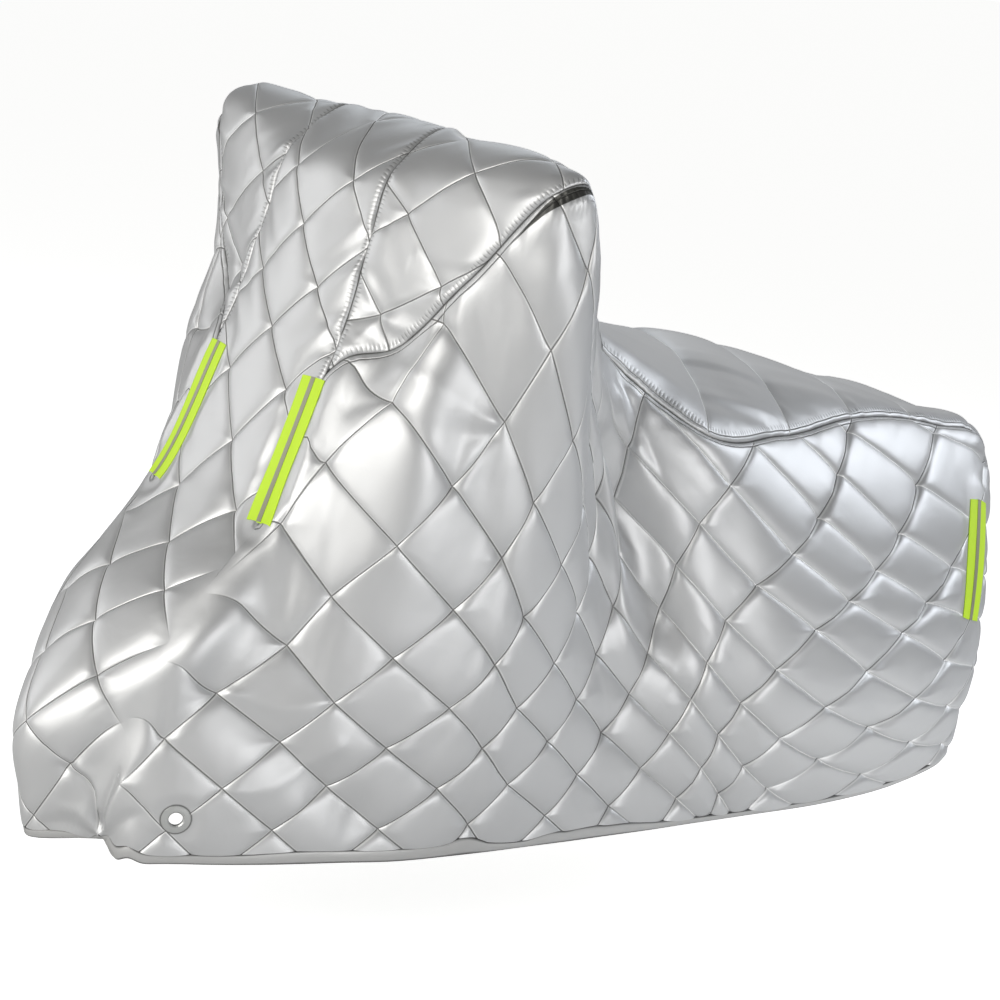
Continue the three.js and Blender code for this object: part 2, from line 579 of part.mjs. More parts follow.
for (const [sideName, side] of [['near', -1], ['far', 1]]) {
  const toChart = (along, height) => [along, side * (ribLength(along) - height)];
  const wadding = (i, j) => PUFF * pillow(i, j) * trimClearance(...toChart(...sidePattern(i, j)));
  const slab = quiltedSlab([-5, 15], [-11, 11], sidePattern, wadding);
  const gap = SEAM_GAP / 2 / 110;
  panel(`${sideName}_side_panel`, slab, sideOutline, [beyondLine(CORNER_LINE - gap)], toChart);
  const corner = slab.intersect(cutter(beyondLine(CORNER_LINE + gap)));
  const hole = eyeletPlane(side).circle(PATCH.radius, EYELET.sides)
    .map(({ chart: [along, across] }) => [along, ribLength(along) - Math.abs(across)]);
  panel(`${sideName}_front_corner`, corner, sideOutline, [hole], toChart);
  eyeletPatch(`${sideName}_eyelet_patch`, side);
  eyelet(`${sideName}_eyelet`, side);
}

// Front panel: up the nose, over the crown and down to the seat
const rowAlong = column(FRONT_ROWS, 'row', 'along');
const rowShift = column(FRONT_ROWS, 'row', 'shift');
const frontPattern = (i, j) => [rowAlong(i + j), FRONT_PITCH * (j - i) + rowShift(i + j)];
const plain = (along, across) => [along, across];
const CROSS_SEAM = ribAlong[BROW_END];
const frontHalf = (at) => Math.min(innerAcross(at), ribLength(at) - hemTop(at) - SEAM_GAP);
const seatHalf = (at) => Math.min(edgeAcross(at), ribLength(at) - hemTop(at) - SEAM_GAP);
const frontWadding = (i, j) => PUFF * pillow(i, j) * trimClearance(...frontPattern(i, j));
panel(
  'front_panel',
  quiltedSlab([-10, 9], [-10, 9], frontPattern, frontWadding),
  band(BOW_EDGE, CROSS_SEAM - SEAM_GAP / 2, (at) => -frontHalf(at), frontHalf),
  [], plain,
);

// Seat panel: over the seat and down the tail, quilted in one direction
const seatPattern = (i, j) => [
  SEAT.along + i * SEAT.linePitch + SEAT.slant * j * SEAT.strandPitch,
  j * SEAT.strandPitch,
];
panel(
  'seat_panel',
  quiltedSlab([-3, 9], [-5, 5], seatPattern, (i) => SEAT_PUFF * Math.sqrt(Math.abs(Math.sin(Math.PI * i)))),
  band(CROSS_SEAM + SEAM_GAP / 2, STERN_EDGE, (at) => -seatHalf(at), seatHalf),
  [], plain,
);

// Brow panels: the leaf shapes between the front panel and the side panels, around the shoulders
const browPattern = (i, j) => [
  BROW.along + BROW.rowPitch * (i + j),
  BROW.across + BROW.columnPitch * (j - i),
];
for (const [sideName, side] of [['near', -1], ['far', 1]]) {
  const outline = band(
    opensAt(innerAcross, edgeAcross, ribAlong[BROW_START] + 1, 1, NARROWEST),
    opensAt(innerAcross, edgeAcross, ribAlong[BROW_END] - 1, -1, NARROWEST),
    innerAcross,
    edgeAcross,
  );
  panel(
    `${sideName}_brow_panel`,
    quiltedSlab([-4, 6], [-4, 6], browPattern, (i, j) => PUFF * pillow(i, j)),
    outline, [], (along, across) => [along, side * across],
  );
}

// Hem tape: bound around the lower edge in two lengths, joined at the bow and the stern
for (const [sideName, side] of [['near', -1], ['far', 1]]) {
  const across = (hem, top, half) => {
    const steps = halfSteps(half);
    return Array.from({ length: steps }, (_, k) => {
      const share = Math.max(k / steps, SEAM_GAP / 2 / half);
      return [[hem, share * ribLength(hem)], [top, share * half]];
    });
  };
  const path = across(0, HEM_TAPE.height, frontHalf(BOW_EDGE));
  for (const at of seamStations) {
    const low = THREE.MathUtils.clamp(at, HEM_TAPE.height, STERN - HEM_TAPE.height);
    path.push([[at, ribLength(at)], [low, ribLength(low) - hemTop(low)]]);
  }
  path.push(...across(STERN, STERN - HEM_TAPE.height, seatHalf(STERN_EDGE)).reverse());
  const loops = path.map(([hem, top]) => [
    raised(hem[0], side * hem[1], HEM_TAPE.inside), raised(hem[0], side * hem[1], HEM_TAPE.outside),
    raised(top[0], side * top[1], HEM_TAPE.outside), raised(top[0], side * top[1], HEM_TAPE.inside),
  ]);
  add(`${sideName}_hem_tape`, closedTube(loops, false), BINDING);
}

// Reflective strips, each with its grey stripe
for (const [sideName, side] of [['near', -1], ['far', 1]]) {
  for (const { name, from, to } of STRIPS) {
    tape(`${sideName}_${name}_strip`, side, from, to, STRIP.width, STRIP.clearance, STRIP.thickness, LIME);
    tape(`${sideName}_${name}_stripe`, side, from, to, STRIPE.width, STRIPE.clearance, STRIPE.thickness, GREY_TAPE);
  }
}

group.position.set(-CROWN.x, 0, -CROWN.z);

export default group;
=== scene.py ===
import math

import bpy
import numpy as np
from mathutils import Matrix, Vector


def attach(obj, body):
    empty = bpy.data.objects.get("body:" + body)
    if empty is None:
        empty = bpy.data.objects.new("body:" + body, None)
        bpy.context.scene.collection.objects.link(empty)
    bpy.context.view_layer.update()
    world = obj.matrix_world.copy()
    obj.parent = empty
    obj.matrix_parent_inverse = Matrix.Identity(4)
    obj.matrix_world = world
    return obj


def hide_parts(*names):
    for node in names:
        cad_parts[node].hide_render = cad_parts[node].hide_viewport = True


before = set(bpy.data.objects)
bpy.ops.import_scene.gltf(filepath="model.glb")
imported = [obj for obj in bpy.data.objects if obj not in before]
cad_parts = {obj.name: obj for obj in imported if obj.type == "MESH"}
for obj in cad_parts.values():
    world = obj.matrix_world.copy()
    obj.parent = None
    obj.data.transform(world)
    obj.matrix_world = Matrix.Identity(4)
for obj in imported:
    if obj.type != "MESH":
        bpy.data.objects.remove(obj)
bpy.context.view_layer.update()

# Front panel
# A long centre panel of silver coated cloth, quilted in diamonds over thin wadding. It starts at the
# bow hem, climbs the nose, crosses the crown and is sewn to the seat panel behind it. All panels lie
# on one draped surface, so that surface is set out here first. Millimetres above the floor.
RIBS = [  # centre (x, z), then (x, out, z): inner seam or None, edge seam, and on down to the hem
    ((-262, 139), None, (-185, 80, 156)),
    ((-306, 310), None, (-197, 132, 335), (-188, 155, 250), (-172, 150, 144)),
    ((-192, 490), None, (-150, 150, 490), (-142, 176, 474), (-130, 185, 380), (-110, 205, 260),
     (-100, 195, 149)),
    ((-43, 655), None, (-29, 145, 655), (-25, 174, 646), (-12, 208, 530), (-12, 242, 335), (0, 240, 156)),
    ((38, 880), None, (50, 145, 877), (53, 176, 868), (38, 222, 755), (72, 285, 450), (110, 275, 162)),
    ((62, 990), (84, 140, 985), (116, 230, 942), (102, 312, 880), (158, 324, 520), (200, 300, 166)),
    ((84, 1090), (104, 135, 1085), (145, 325, 1055), (225, 345, 730), (270, 348, 430), (285, 313, 171)),
    ((118, 1195), (135, 130, 1188), (190, 425, 1198), (285, 385, 790), (335, 352, 440), (355, 320, 175)),
    ((222, 1262), (218, 124, 1251), (243, 444, 1222), (345, 385, 810), (405, 345, 440), (430, 322, 178)),
    ((335, 1190), (335, 130, 1180), (294, 400, 1135), (420, 332, 800), (480, 325, 440), (510, 322, 180)),
    ((460, 1050), (455, 150, 1035), (395, 335, 1000), (500, 290, 740), (565, 310, 440), (595, 322, 183)),
    ((600, 965), None, (503, 235, 948), (590, 285, 690), (650, 330, 430), (685, 320, 185)),
    ((710, 940), None, (665, 312, 838), (700, 352, 650), (735, 368, 420), (775, 316, 187)),
    ((860, 930), None, (860, 285, 828), (880, 368, 640), (890, 388, 400), (900, 312, 190)),
    ((1080, 895), None, (1080, 235, 850), (1110, 338, 650), (1115, 375, 400), (1110, 297, 193)),
    ((1350, 828), None, (1320, 197, 832), (1340, 282, 650), (1340, 325, 400), (1320, 268, 207)),
    ((1555, 792), None, (1460, 180, 800), (1431, 264, 640), (1432, 290, 400), (1412, 262, 232)),
    ((1635, 690), None, (1510, 176, 680), (1494, 205, 540), (1485, 228, 380), (1470, 226, 242)),
    ((1625, 450), None, (1518, 164, 450), (1508, 180, 380), (1488, 200, 245)),
    ((1585, 248), None, (1496, 160, 246)),
]
CROWN = np.array([222.0, 0.0, 1236.0])  # the frame's origin
RIB_POINTS = 121
KNOT_STEPS = 24  # points between two knots of a rib, before they are spaced evenly


def curve(w, a, slope_a, b, slope_b):
    """Smooth curve from a to b as w goes from 0 to 1, with its slopes at both ends."""
    return ((2 * w**3 - 3 * w**2 + 1) * a + (w**3 - 2 * w**2 + w) * slope_a
            + (3 * w**2 - 2 * w**3) * b + (w**3 - w**2) * slope_b)


def rib(row):
    """One section from the centre line to the hem, as evenly spaced points; its length and seam places."""
    centre, inner, edge, *lower = row
    knots = [(centre[0], 0, centre[1])] + ([inner] if inner else []) + [edge, *lower]
    knots = np.array([(x, -out, z) for x, out, z in knots], float)
    q = np.vstack([knots[1] * [1, -1, 1], knots, 2 * knots[-1] - knots[-2]])
    t = np.concatenate([[0], np.cumsum(np.linalg.norm(np.diff(q, axis=0), axis=1) ** 0.5)])
    dense = []
    w = np.linspace(0, 1, KNOT_STEPS, endpoint=False)[:, None]
    for k in range(1, len(q) - 2):
        t0, t1, t2, t3 = t[k - 1:k + 3]
        m1 = (t2 - t1) * ((q[k] - q[k - 1]) / (t1 - t0) - (q[k + 1] - q[k - 1]) / (t2 - t0)
                          + (q[k + 1] - q[k]) / (t2 - t1))
        m2 = (t2 - t1) * ((q[k + 1] - q[k]) / (t2 - t1) - (q[k + 2] - q[k]) / (t3 - t1)
                          + (q[k + 2] - q[k + 1]) / (t3 - t2))
        dense.append(curve(w, q[k], m1, q[k + 1], m2))
    dense = np.vstack(dense + [q[-2][None]])
    run = np.concatenate([[0], np.cumsum(np.linalg.norm(np.diff(dense, axis=0), axis=1))])
    at = np.linspace(0, run[-1], RIB_POINTS)
    points = np.stack([np.interp(at, run, dense[:, k]) for k in range(3)], -1)
    return points, run[-1], run[KNOT_STEPS], run[2 * KNOT_STEPS if inner else KNOT_STEPS]


ribs = [rib(row) for row in RIBS]
grid = np.array([r[0] for r in ribs])
lengths, inners, edges = (np.array([r[k] for r in ribs]) for k in (1, 2, 3))
probes = grid[:, [0, RIB_POINTS // 3, 2 * RIB_POINTS // 3, RIB_POINTS - 1]]
along_rib = np.concatenate([[0], np.cumsum(np.linalg.norm(np.diff(probes, axis=0), axis=2).mean(1))])
STERN = along_rib[-1]


def slopes(stations, values):
    """Slope of the curve through values at each station."""
    step = np.diff(stations).reshape((-1,) + (1,) * (values.ndim - 1))
    rate = np.diff(values, axis=0) / step
    inside = (rate[:-1] * step[1:] + rate[1:] * step[:-1]) / (step[1:] + step[:-1])
    return np.concatenate([rate[:1], inside, rate[-1:]])


def smooth(stations, values, at):
    """Smooth curve through values at rising stations, straight beyond its ends."""
    stations, values, at = (np.asarray(v, float) for v in (stations, values, at))
    m = slopes(stations, values)
    k = np.clip(np.searchsorted(stations, at, side="right") - 1, 0, len(stations) - 2)
    h = (stations[1:] - stations[:-1])[k]
    w = (at - stations[k]) / h
    mid = curve(np.clip(w, 0, 1), values[k], h * m[k], values[k + 1], h * m[k + 1])
    return mid + np.minimum(w, 0) * h * m[0] + np.maximum(w - 1, 0) * h * m[-1]


padded_grid = np.concatenate([grid[:, 1:2] * [1, -1, 1], grid, 2 * grid[:, -1:] - grid[:, -2:-1]], axis=1)
grid_slopes = slopes(along_rib, padded_grid)


def rib_length(at):
    """From the centre line to the hem, across the surface."""
    return smooth(along_rib, lengths, at)


def edge_seam(at):
    return smooth(along_rib, edges / lengths, at) * rib_length(at)


def inner_seam(at):
    share = np.minimum(smooth(along_rib, inners / lengths, at), smooth(along_rib, edges / lengths, at))
    return share * rib_length(at)


def surface(along, across):
    """Points of the draped surface: along from bow to stern, across from the centre line. The near
    side is negative."""
    along = np.clip(np.asarray(along, float), 0, STERN)
    across = np.asarray(across, float)
    k = np.clip(np.searchsorted(along_rib, along, side="right") - 1, 0, len(along_rib) - 2)
    h = (along_rib[k + 1] - along_rib[k])[:, None]
    w = (along[:, None] - along_rib[k][:, None]) / h
    place = np.clip(np.abs(across) / rib_length(along), 0, 1) * (RIB_POINTS - 1)
    c = np.clip(place.astype(int), 0, RIB_POINTS - 2)
    v = (place - c)[:, None]

    # A smooth curve through four neighbouring points of the rib
    taps = [(-v + 2 * v**2 - v**3) / 2, (2 - 5 * v**2 + 3 * v**3) / 2,
            (v + 4 * v**2 - 3 * v**3) / 2, (v**3 - v**2) / 2]
    out = 0
    for n, weight in enumerate(taps):
        a, b = padded_grid[k, c + n], padded_grid[k + 1, c + n]
        out = out + weight * curve(w, a, h * grid_slopes[k, c + n], b, h * grid_slopes[k + 1, c + n])
    out[across > 0, 1] *= -1
    return out


PROBE = 3.0  # a direction is measured over twice this length


def frame_at(along, across):
    """Steps along and across the surface per millimetre of chart, and its outward direction."""
    limit = rib_length(np.clip(along, 0, STERN)) - PROBE
    a = np.clip(along, PROBE, STERN - PROBE)
    c = np.clip(across, -limit, limit)
    du = (surface(a + PROBE, c) - surface(a - PROBE, c)) / (2 * PROBE)
    dv = (surface(a, c + PROBE) - surface(a, c - PROBE)) / (2 * PROBE)
    out = np.cross(du, dv)
    return du, dv, out / np.linalg.norm(out, axis=1)[:, None]


# The main folds, as soft troughs and ridges between two places (along, height above the hem)
FOLDS = [  # side, from, to, depth, width
    (-1, (1208, 768), (1361, 637), -15, 44),
    (-1, (1361, 637), (1445, 350), -21, 50),
    (-1, (1290, 690), (1330, 330), 8, 40),
    (-1, (960, 930), (1133, 440), 8, 50),
    (-1, (363, 269), (640, 75), -9, 42),
    (-1, (1560, 520), (1590, 190), -8, 50),
    (-1, (1900, 420), (1935, 150), -6, 55),
    (1, (1230, 740), (1415, 330), -12, 50),
    (1, (1010, 880), (1100, 420), 9, 48),
    (1, (400, 250), (610, 90), -7, 44),
    (1, (1700, 470), (1740, 160), -9, 52),
]
STANDOFF = 5.0  # depth of the stitched-flat cloth under the surface
GATHER = 95.0  # where, along, the hem is gathered at the bow
HEM_WAVE, HEM_WAVE_LENGTH = 6.0, 105.0  # the ripple of the hem there

# Sharper creases between two places of the surface (along, across), strongest at the first
CREASES = [  # side, from, to, height, width
    (-1, (50, -150), (95, -79), -10, 7),
    (-1, (66, -146), (112, -84), 8, 8),
    (-1, (54, -172), (112, -178), -10, 6),
    (-1, (60, -190), (126, -214), 9, 7),
    (-1, (56, -196), (158, -310), -9, 8),
    (-1, (46, -196), (129, -338), 9, 8),
    (-1, (40, -160), (42, -70), 8, 8),
    (-1, (28, -160), (22, -40), -7, 8),
    (-1, (369, -321), (595, -612), 5, 13),
    (-1, (232, -265), (259, -212), -5, 20),
    (-1, (604, -696), (363, -464), 5, 18),
    (-1, (865, -583), (726, -286), 7, 11),
    (-1, (865, -600), (700, -330), -6, 14),
    (-1, (640, -240), (726, -328), -4, 12),
    (-1, (791, -312), (830, -420), -5, 12),
    (-1, (1419, -338), (1446, -441), 7, 10),
    (-1, (1445, -300), (1475, -460), -8, 12),
    (1, (60, 150), (120, 260), -7, 9),
    (1, (55, 140), (70, 60), 6, 9),
    (1, (420, 330), (620, 590), 5, 14),
    (1, (860, 560), (720, 300), -6, 13),
    (1, (1440, 310), (1480, 450), -7, 12),
]


def off_line(p, a, b):
    """Distance of points from a stretch of line, and their share of the way along it."""
    a, b = np.asarray(a, float), np.asarray(b, float)
    share = np.clip(((p - a) @ (b - a)) / ((b - a) @ (b - a)), 0, 1)
    return np.linalg.norm(p - a - share[..., None] * (b - a), axis=-1), share


def relief(along, across, base):
    """Height of the folds and creases at points of the surface."""
    height = rib_length(along) - np.abs(across)
    p = np.stack([along, height], -1)
    total = np.zeros(len(along))
    for side, start, end, depth, width in FOLDS:
        d, _ = off_line(p, start, end)
        total += np.where(side * across > 0, depth * np.exp(-(d / width) ** 2), 0)
    for side, start, end, depth, width in CREASES:
        path = surface(np.linspace(start[0], end[0], 6), np.linspace(start[1], end[1], 6))
        best = np.zeros(len(along))
        for n, (a, b) in enumerate(zip(path, path[1:])):
            d, share = off_line(base, a, b)
            strength = (1 - 0.12 * (n + share)) * np.exp(-(np.hypot(d, 3) - 3) / width)
            best = np.maximum(best, strength)
        total += depth * best
    return total


def lay(along, across, rise, base=None):
    """Points at a height above the stitched-flat cloth, in metres from the crown."""
    _, _, out = frame_at(along, across)
    base = surface(along, across) if base is None else base
    p = base + out * (rise + relief(along, across, base) - STANDOFF)[:, None]
    height = rib_length(np.clip(along, 0, STERN)) - np.abs(across)
    near = np.exp(-((along - GATHER) / 75) ** 2 - (height / 45) ** 2)
    p[:, 2] += HEM_WAVE * np.sin(2 * math.pi * (along - 20) / HEM_WAVE_LENGTH) * near
    return (p - CROWN) / 1000


def beyond(along, across):
    """The surface carried on past the hem, bow and stern, as a mirror image through its edge."""
    a = np.clip(along, 0, STERN)
    limit = rib_length(a)
    c = np.clip(across, -limit, limit)
    return 2 * surface(a, c) - surface(2 * a - along, 2 * c - across)


def seam_line(across_of, start, end, side):
    """A seam as points on the surface, with the length along it."""
    at = np.linspace(start, end, max(int((end - start) / 4), 2))
    points = surface(at, side * across_of(at))
    run = np.concatenate([[0], np.cumsum(np.linalg.norm(np.diff(points, axis=0), axis=1))])
    return points, run + start


CHUNK = 20000  # points handled at a time


def nearest_seam(points, lines):
    """Distance from points to the nearest of the seams, and the place along that seam."""
    best, place = np.full(len(points), 1e3), np.zeros(len(points))
    for line, run in lines:
        for first in range(0, len(points), CHUNK):
            part = slice(first, first + CHUNK)
            p = points[part]
            d2 = ((p * p).sum(1)[:, None] + (line * line).sum(1) - 2 * p @ line.T)
            k = d2.argmin(1)
            a, b = line[np.maximum(k - 1, 0)], line[np.minimum(k + 1, len(line) - 1)]
            ahead = ((p - a) * (b - a)).sum(1) / ((b - a) ** 2).sum(1)
            d = np.linalg.norm(p - a - np.clip(ahead, 0, 1)[:, None] * (b - a), axis=1)
            closer = d < best[part]
            r0, r1 = run[np.maximum(k - 1, 0)], run[np.minimum(k + 1, len(line) - 1)]
            place[part][closer] = (r0 + np.clip(ahead, 0, 1) * (r1 - r0))[closer]
            best[part][closer] = d[closer]
    return best, place


def scatter(a, b, seed):
    """A steady random number from 0 to 1 for each pair of whole numbers."""
    n = np.sin(a * 127.1 + b * 311.7 + seed * 74.7) * 43758.5453
    return n - np.floor(n)


def noise(x, y, seed):
    """Smooth random heights from -1 to 1 over a unit grid, the same each time."""
    xi, yi = np.floor(x).astype(int), np.floor(y).astype(int)
    fx, fy = x - xi, y - yi
    sx, sy = fx * fx * (3 - 2 * fx), fy * fy * (3 - 2 * fy)

    def corner(a, b):
        return 2 * scatter(a, b, seed) - 1

    low = corner(xi, yi) * (1 - sx) + corner(xi + 1, yi) * sx
    high = corner(xi, yi + 1) * (1 - sx) + corner(xi + 1, yi + 1) * sx
    return low * (1 - sy) + high * sy


def clip(rows, triangles, inside):
    """Cuts triangles along the line where inside is zero. rows holds every value of each point."""
    keep = inside > 0
    count = keep[triangles].sum(1)
    whole = triangles[count == 3]
    new_rows, made, cut = [rows], [], {}
    total = len(rows)

    def edge(a, b):
        nonlocal total
        key = (a, b) if a < b else (b, a)
        if key not in cut:
            t = inside[key[0]] / (inside[key[0]] - inside[key[1]])
            new_rows.append((rows[key[0]] * (1 - t) + rows[key[1]] * t)[None])
            cut[key] = total
            total += 1
        return cut[key]

    for tri in triangles[(count > 0) & (count < 3)]:
        ring = []
        for n in range(3):
            a, b = int(tri[n]), int(tri[(n + 1) % 3])
            if keep[a]:
                ring.append(a)
            if keep[a] != keep[b]:
                ring.append(edge(a, b))
        made += [(ring[0], ring[n], ring[n + 1]) for n in range(1, len(ring) - 1)]
    rows = np.vstack(new_rows)
    triangles = np.vstack([whole, np.array(made, int).reshape(-1, 3)])
    used, flat = np.unique(triangles, return_inverse=True)
    return rows[used], flat.reshape(-1, 3)


def mesh_object(name, points, faces, values=None):
    """A smooth mesh piece, with named values on its points."""
    mesh = bpy.data.meshes.new(name)
    faces = np.asarray(faces)
    mesh.vertices.add(len(points))
    mesh.vertices.foreach_set("co", np.asarray(points, np.float32).ravel())
    mesh.loops.add(faces.size)
    mesh.loops.foreach_set("vertex_index", faces.ravel().astype(np.int32))
    mesh.polygons.add(len(faces))
    mesh.polygons.foreach_set("loop_start", np.arange(0, faces.size, faces.shape[1], dtype=np.int32))
    mesh.update(calc_edges=True)
    mesh.validate()
    for key, value in (values or {}).items():
        mesh.attributes.new(key, "FLOAT", "POINT").data.foreach_set("value", value.astype(np.float32))
    mesh.shade_smooth()
    piece = bpy.data.objects.new(name, mesh)
    bpy.context.scene.collection.objects.link(piece)
    return piece


def towards_tail(x):
    """0 over the front part and 1 over the rear part. It changes where the seat panel begins."""
    return np.clip((x - 1250) / 250, 0, 1)


CELL_STEPS = 24  # mesh steps across a cell
CROWDING = 0.07  # share of a cell by which the steps crowd towards its stitch lines
TAUT = 1.1  # pull of a cell towards the flat between its four corner stitches
HELD = 40.0  # the pull sets in over this distance from a panel's edge
BULGE = 16.0  # and is halved where the surface stands this far off that flat
FAR_OFF = 99.0  # distance to a line or an eyelet that isn't near


def quilted_panel(name, i_range, j_range, pattern, bounds_of, seams, puff, fine=1.0, taut=TAUT):
    """A quilted panel, its mesh in line with the stitching, cut to the seams and draped. pattern gives
    the chart place of a pattern point, bounds_of the distance inside the panel's edges, and puff the
    height of the quilting."""
    steps = max(4, round(CELL_STEPS * fine))
    t = np.linspace(0, 1, steps, endpoint=False)
    t = t - CROWDING * np.sin(2 * math.pi * t)
    i = (np.arange(*i_range)[:, None] + t).ravel()
    j = (np.arange(*j_range)[:, None] + t).ravel()
    i, j = np.append(i, i_range[1]), np.append(j, j_range[1])
    ii, jj = np.meshgrid(i, j, indexing="ij")
    x, y = pattern(ii, jj)
    shape = ii.shape

    # Millimetres from one stitch line to the next
    base = surface(x.ravel(), y.ravel()).reshape(*shape, 3)
    by_i = np.gradient(base, i, axis=0)
    by_j = np.gradient(base, j, axis=1)
    area = np.linalg.norm(np.cross(by_i, by_j), axis=2)
    wide_i = area / np.maximum(np.linalg.norm(by_j, axis=2), 1)
    wide_j = area / np.maximum(np.linalg.norm(by_i, axis=2), 1)

    # Two triangles for each step, cut along the panel's edges
    rows = np.stack([a.ravel() for a in (x, y, ii, jj, wide_i, wide_j)], -1)
    n = np.arange(ii.size).reshape(shape)
    a, b, c, d = n[:-1, :-1], n[1:, :-1], n[1:, 1:], n[:-1, 1:]
    tri = np.concatenate([np.stack(t3, -1).reshape(-1, 3) for t3 in ((a, b, c), (a, c, d))])
    inside = bounds_of(rows[:, 0], rows[:, 1])
    tri = tri[(inside[tri] > 0).any(1)]
    rows, tri = clip(rows, tri, inside)
    x, y, i, j, wide_i, wide_j = rows.T

    # The quilting, on cells that are pulled nearly flat between their corners
    off_i = np.abs(i - np.round(i)) * wide_i
    off_j = np.abs(j - np.round(j)) * wide_j
    base = surface(x, y)
    seam, place = nearest_seam(base, seams)
    rise = puff(x, y, i, j, off_i, off_j, seam, place)
    all_i, all_j = np.arange(i_range[0], i_range[1] + 2), np.arange(j_range[0], j_range[1] + 2)
    corner_i, corner_j = np.meshgrid(all_i, all_j, indexing="ij")
    cx, cy = pattern(corner_i.ravel(), corner_j.ravel())
    corners = beyond(cx, cy).reshape(*corner_i.shape, 3)
    ci, cj = np.floor(i).astype(int), np.floor(j).astype(int)
    fi, fj = (i - ci)[:, None], (j - cj)[:, None]
    ci, cj = ci - i_range[0], cj - j_range[0]
    chord = ((1 - fi) * (1 - fj) * corners[ci, cj] + fi * (1 - fj) * corners[ci + 1, cj]
             + (1 - fi) * fj * corners[ci, cj + 1] + fi * fj * corners[ci + 1, cj + 1])
    hold = np.clip(bounds_of(x, y), 0, None)
    share = taut * (1 - np.exp(-(hold / HELD) ** 2)) * pressed(x, y) * (1 - nose_corner(x, y, 470, 80, 120))
    share = share / (1 + np.linalg.norm(chord - base, axis=1) / BULGE)
    points = lay(x, y, rise, base + (chord - base) * share[:, None])

    # All faces turned outward
    p = points[tri]
    normal = np.cross(p[:, 1] - p[:, 0], p[:, 2] - p[:, 0])
    _, _, out = frame_at(x[tri[:, 0]], y[tri[:, 0]])
    tri = np.where(((normal * out).sum(1) < 0)[:, None], tri[:, ::-1], tri)
    values = {"line_i": off_i, "line_j": off_j, "seam": seam, "place": place,
              "plain": 1 - shown_lines(x, y), "rear": towards_tail(x),
              "eyelet": np.minimum(eyelet_distance(x, y), FAR_OFF)}
    return mesh_object(name, points, tri, values)


def node(tree, kind, **settings):
    """A shader node with its inputs and settings."""
    made = tree.nodes.new(kind)
    for key, value in settings.items():
        if key in made.inputs:
            made.inputs[key].default_value = value
        else:
            setattr(made, key, value)
    return made


def math_node(tree, operation, *inputs):
    """A sum on numbers or on what other nodes give."""
    made = tree.nodes.new("ShaderNodeMath")
    made.operation = operation
    for n, value in enumerate(inputs):
        if isinstance(value, (int, float)):
            made.inputs[n].default_value = value
        else:
            tree.links.new(value, made.inputs[n])
    return made.outputs[0]


def times(tree, a, b):
    return math_node(tree, "MULTIPLY", a, b)


def plus(tree, a, b):
    return math_node(tree, "ADD", a, b)


def less(tree, a, b):
    return math_node(tree, "SUBTRACT", a, b)


def most(tree, a, b):
    return math_node(tree, "MAXIMUM", a, b)


def least(tree, a, b):
    return math_node(tree, "MINIMUM", a, b)


def value_of(tree, name):
    """A named value of the mesh's points."""
    return node(tree, "ShaderNodeAttribute", attribute_name=name).outputs["Fac"]


def bell(tree, value, width):
    """1 where value is 0, falling off over width."""
    ratio = math_node(tree, "DIVIDE", value, width)
    square = times(tree, ratio, ratio)
    return math_node(tree, "EXPONENT", times(tree, square, -1.0))


def color_mix(tree, factor, *colors):
    """The first colour where factor is 0, the second where it is 1."""
    mix = node(tree, "ShaderNodeMix", data_type="RGBA")
    for socket, value in zip(("A", "B"), colors):
        if isinstance(value, tuple):
            mix.inputs[socket].default_value = value
        else:
            tree.links.new(value, mix.inputs[socket])
    tree.links.new(factor, mix.inputs["Factor"])
    return mix.outputs["Result"]


def new_material(name, color, roughness, metallic):
    material = bpy.data.materials.new(name)
    material.use_nodes = True
    tree = material.node_tree
    shader = tree.nodes["Principled BSDF"]
    shader.inputs["Base Color"].default_value = (*color, 1)
    shader.inputs["Roughness"].default_value = roughness
    shader.inputs["Metallic"].default_value = metallic
    return material, tree, shader


SILVER = (0.60, 0.605, 0.61)
PAINTED_HIGHLIGHT, DARK = (0.93, 0.93, 0.92, 1), (0.07, 0.07, 0.065, 1)  # painted highlight on the lips of the stitch lines, and painted shade in the lines, seams, folds, ribs and slit
SHADE_HALF, SUNK, HIGHLIGHT_ASIDE = 0.8, 1.2, 2.0  # half widths of the painted shade in a line and of its groove, and the place of the painted highlight beside them
RUNG_PITCH = 7.0  # spacing of the ribs that the thread draws beside a seam
SLIT = (1040.0, 1240.0)  # where, along the side seam, the cloth gapes beside it in a small pleat, with painted shade in the gap
SLIT_ASIDE, SLIT_HALF = 11.0, 9.0  # its distance from the seam, and its half width
EYELET_RIM = 23.0  # radius of the dark line around an eyelet


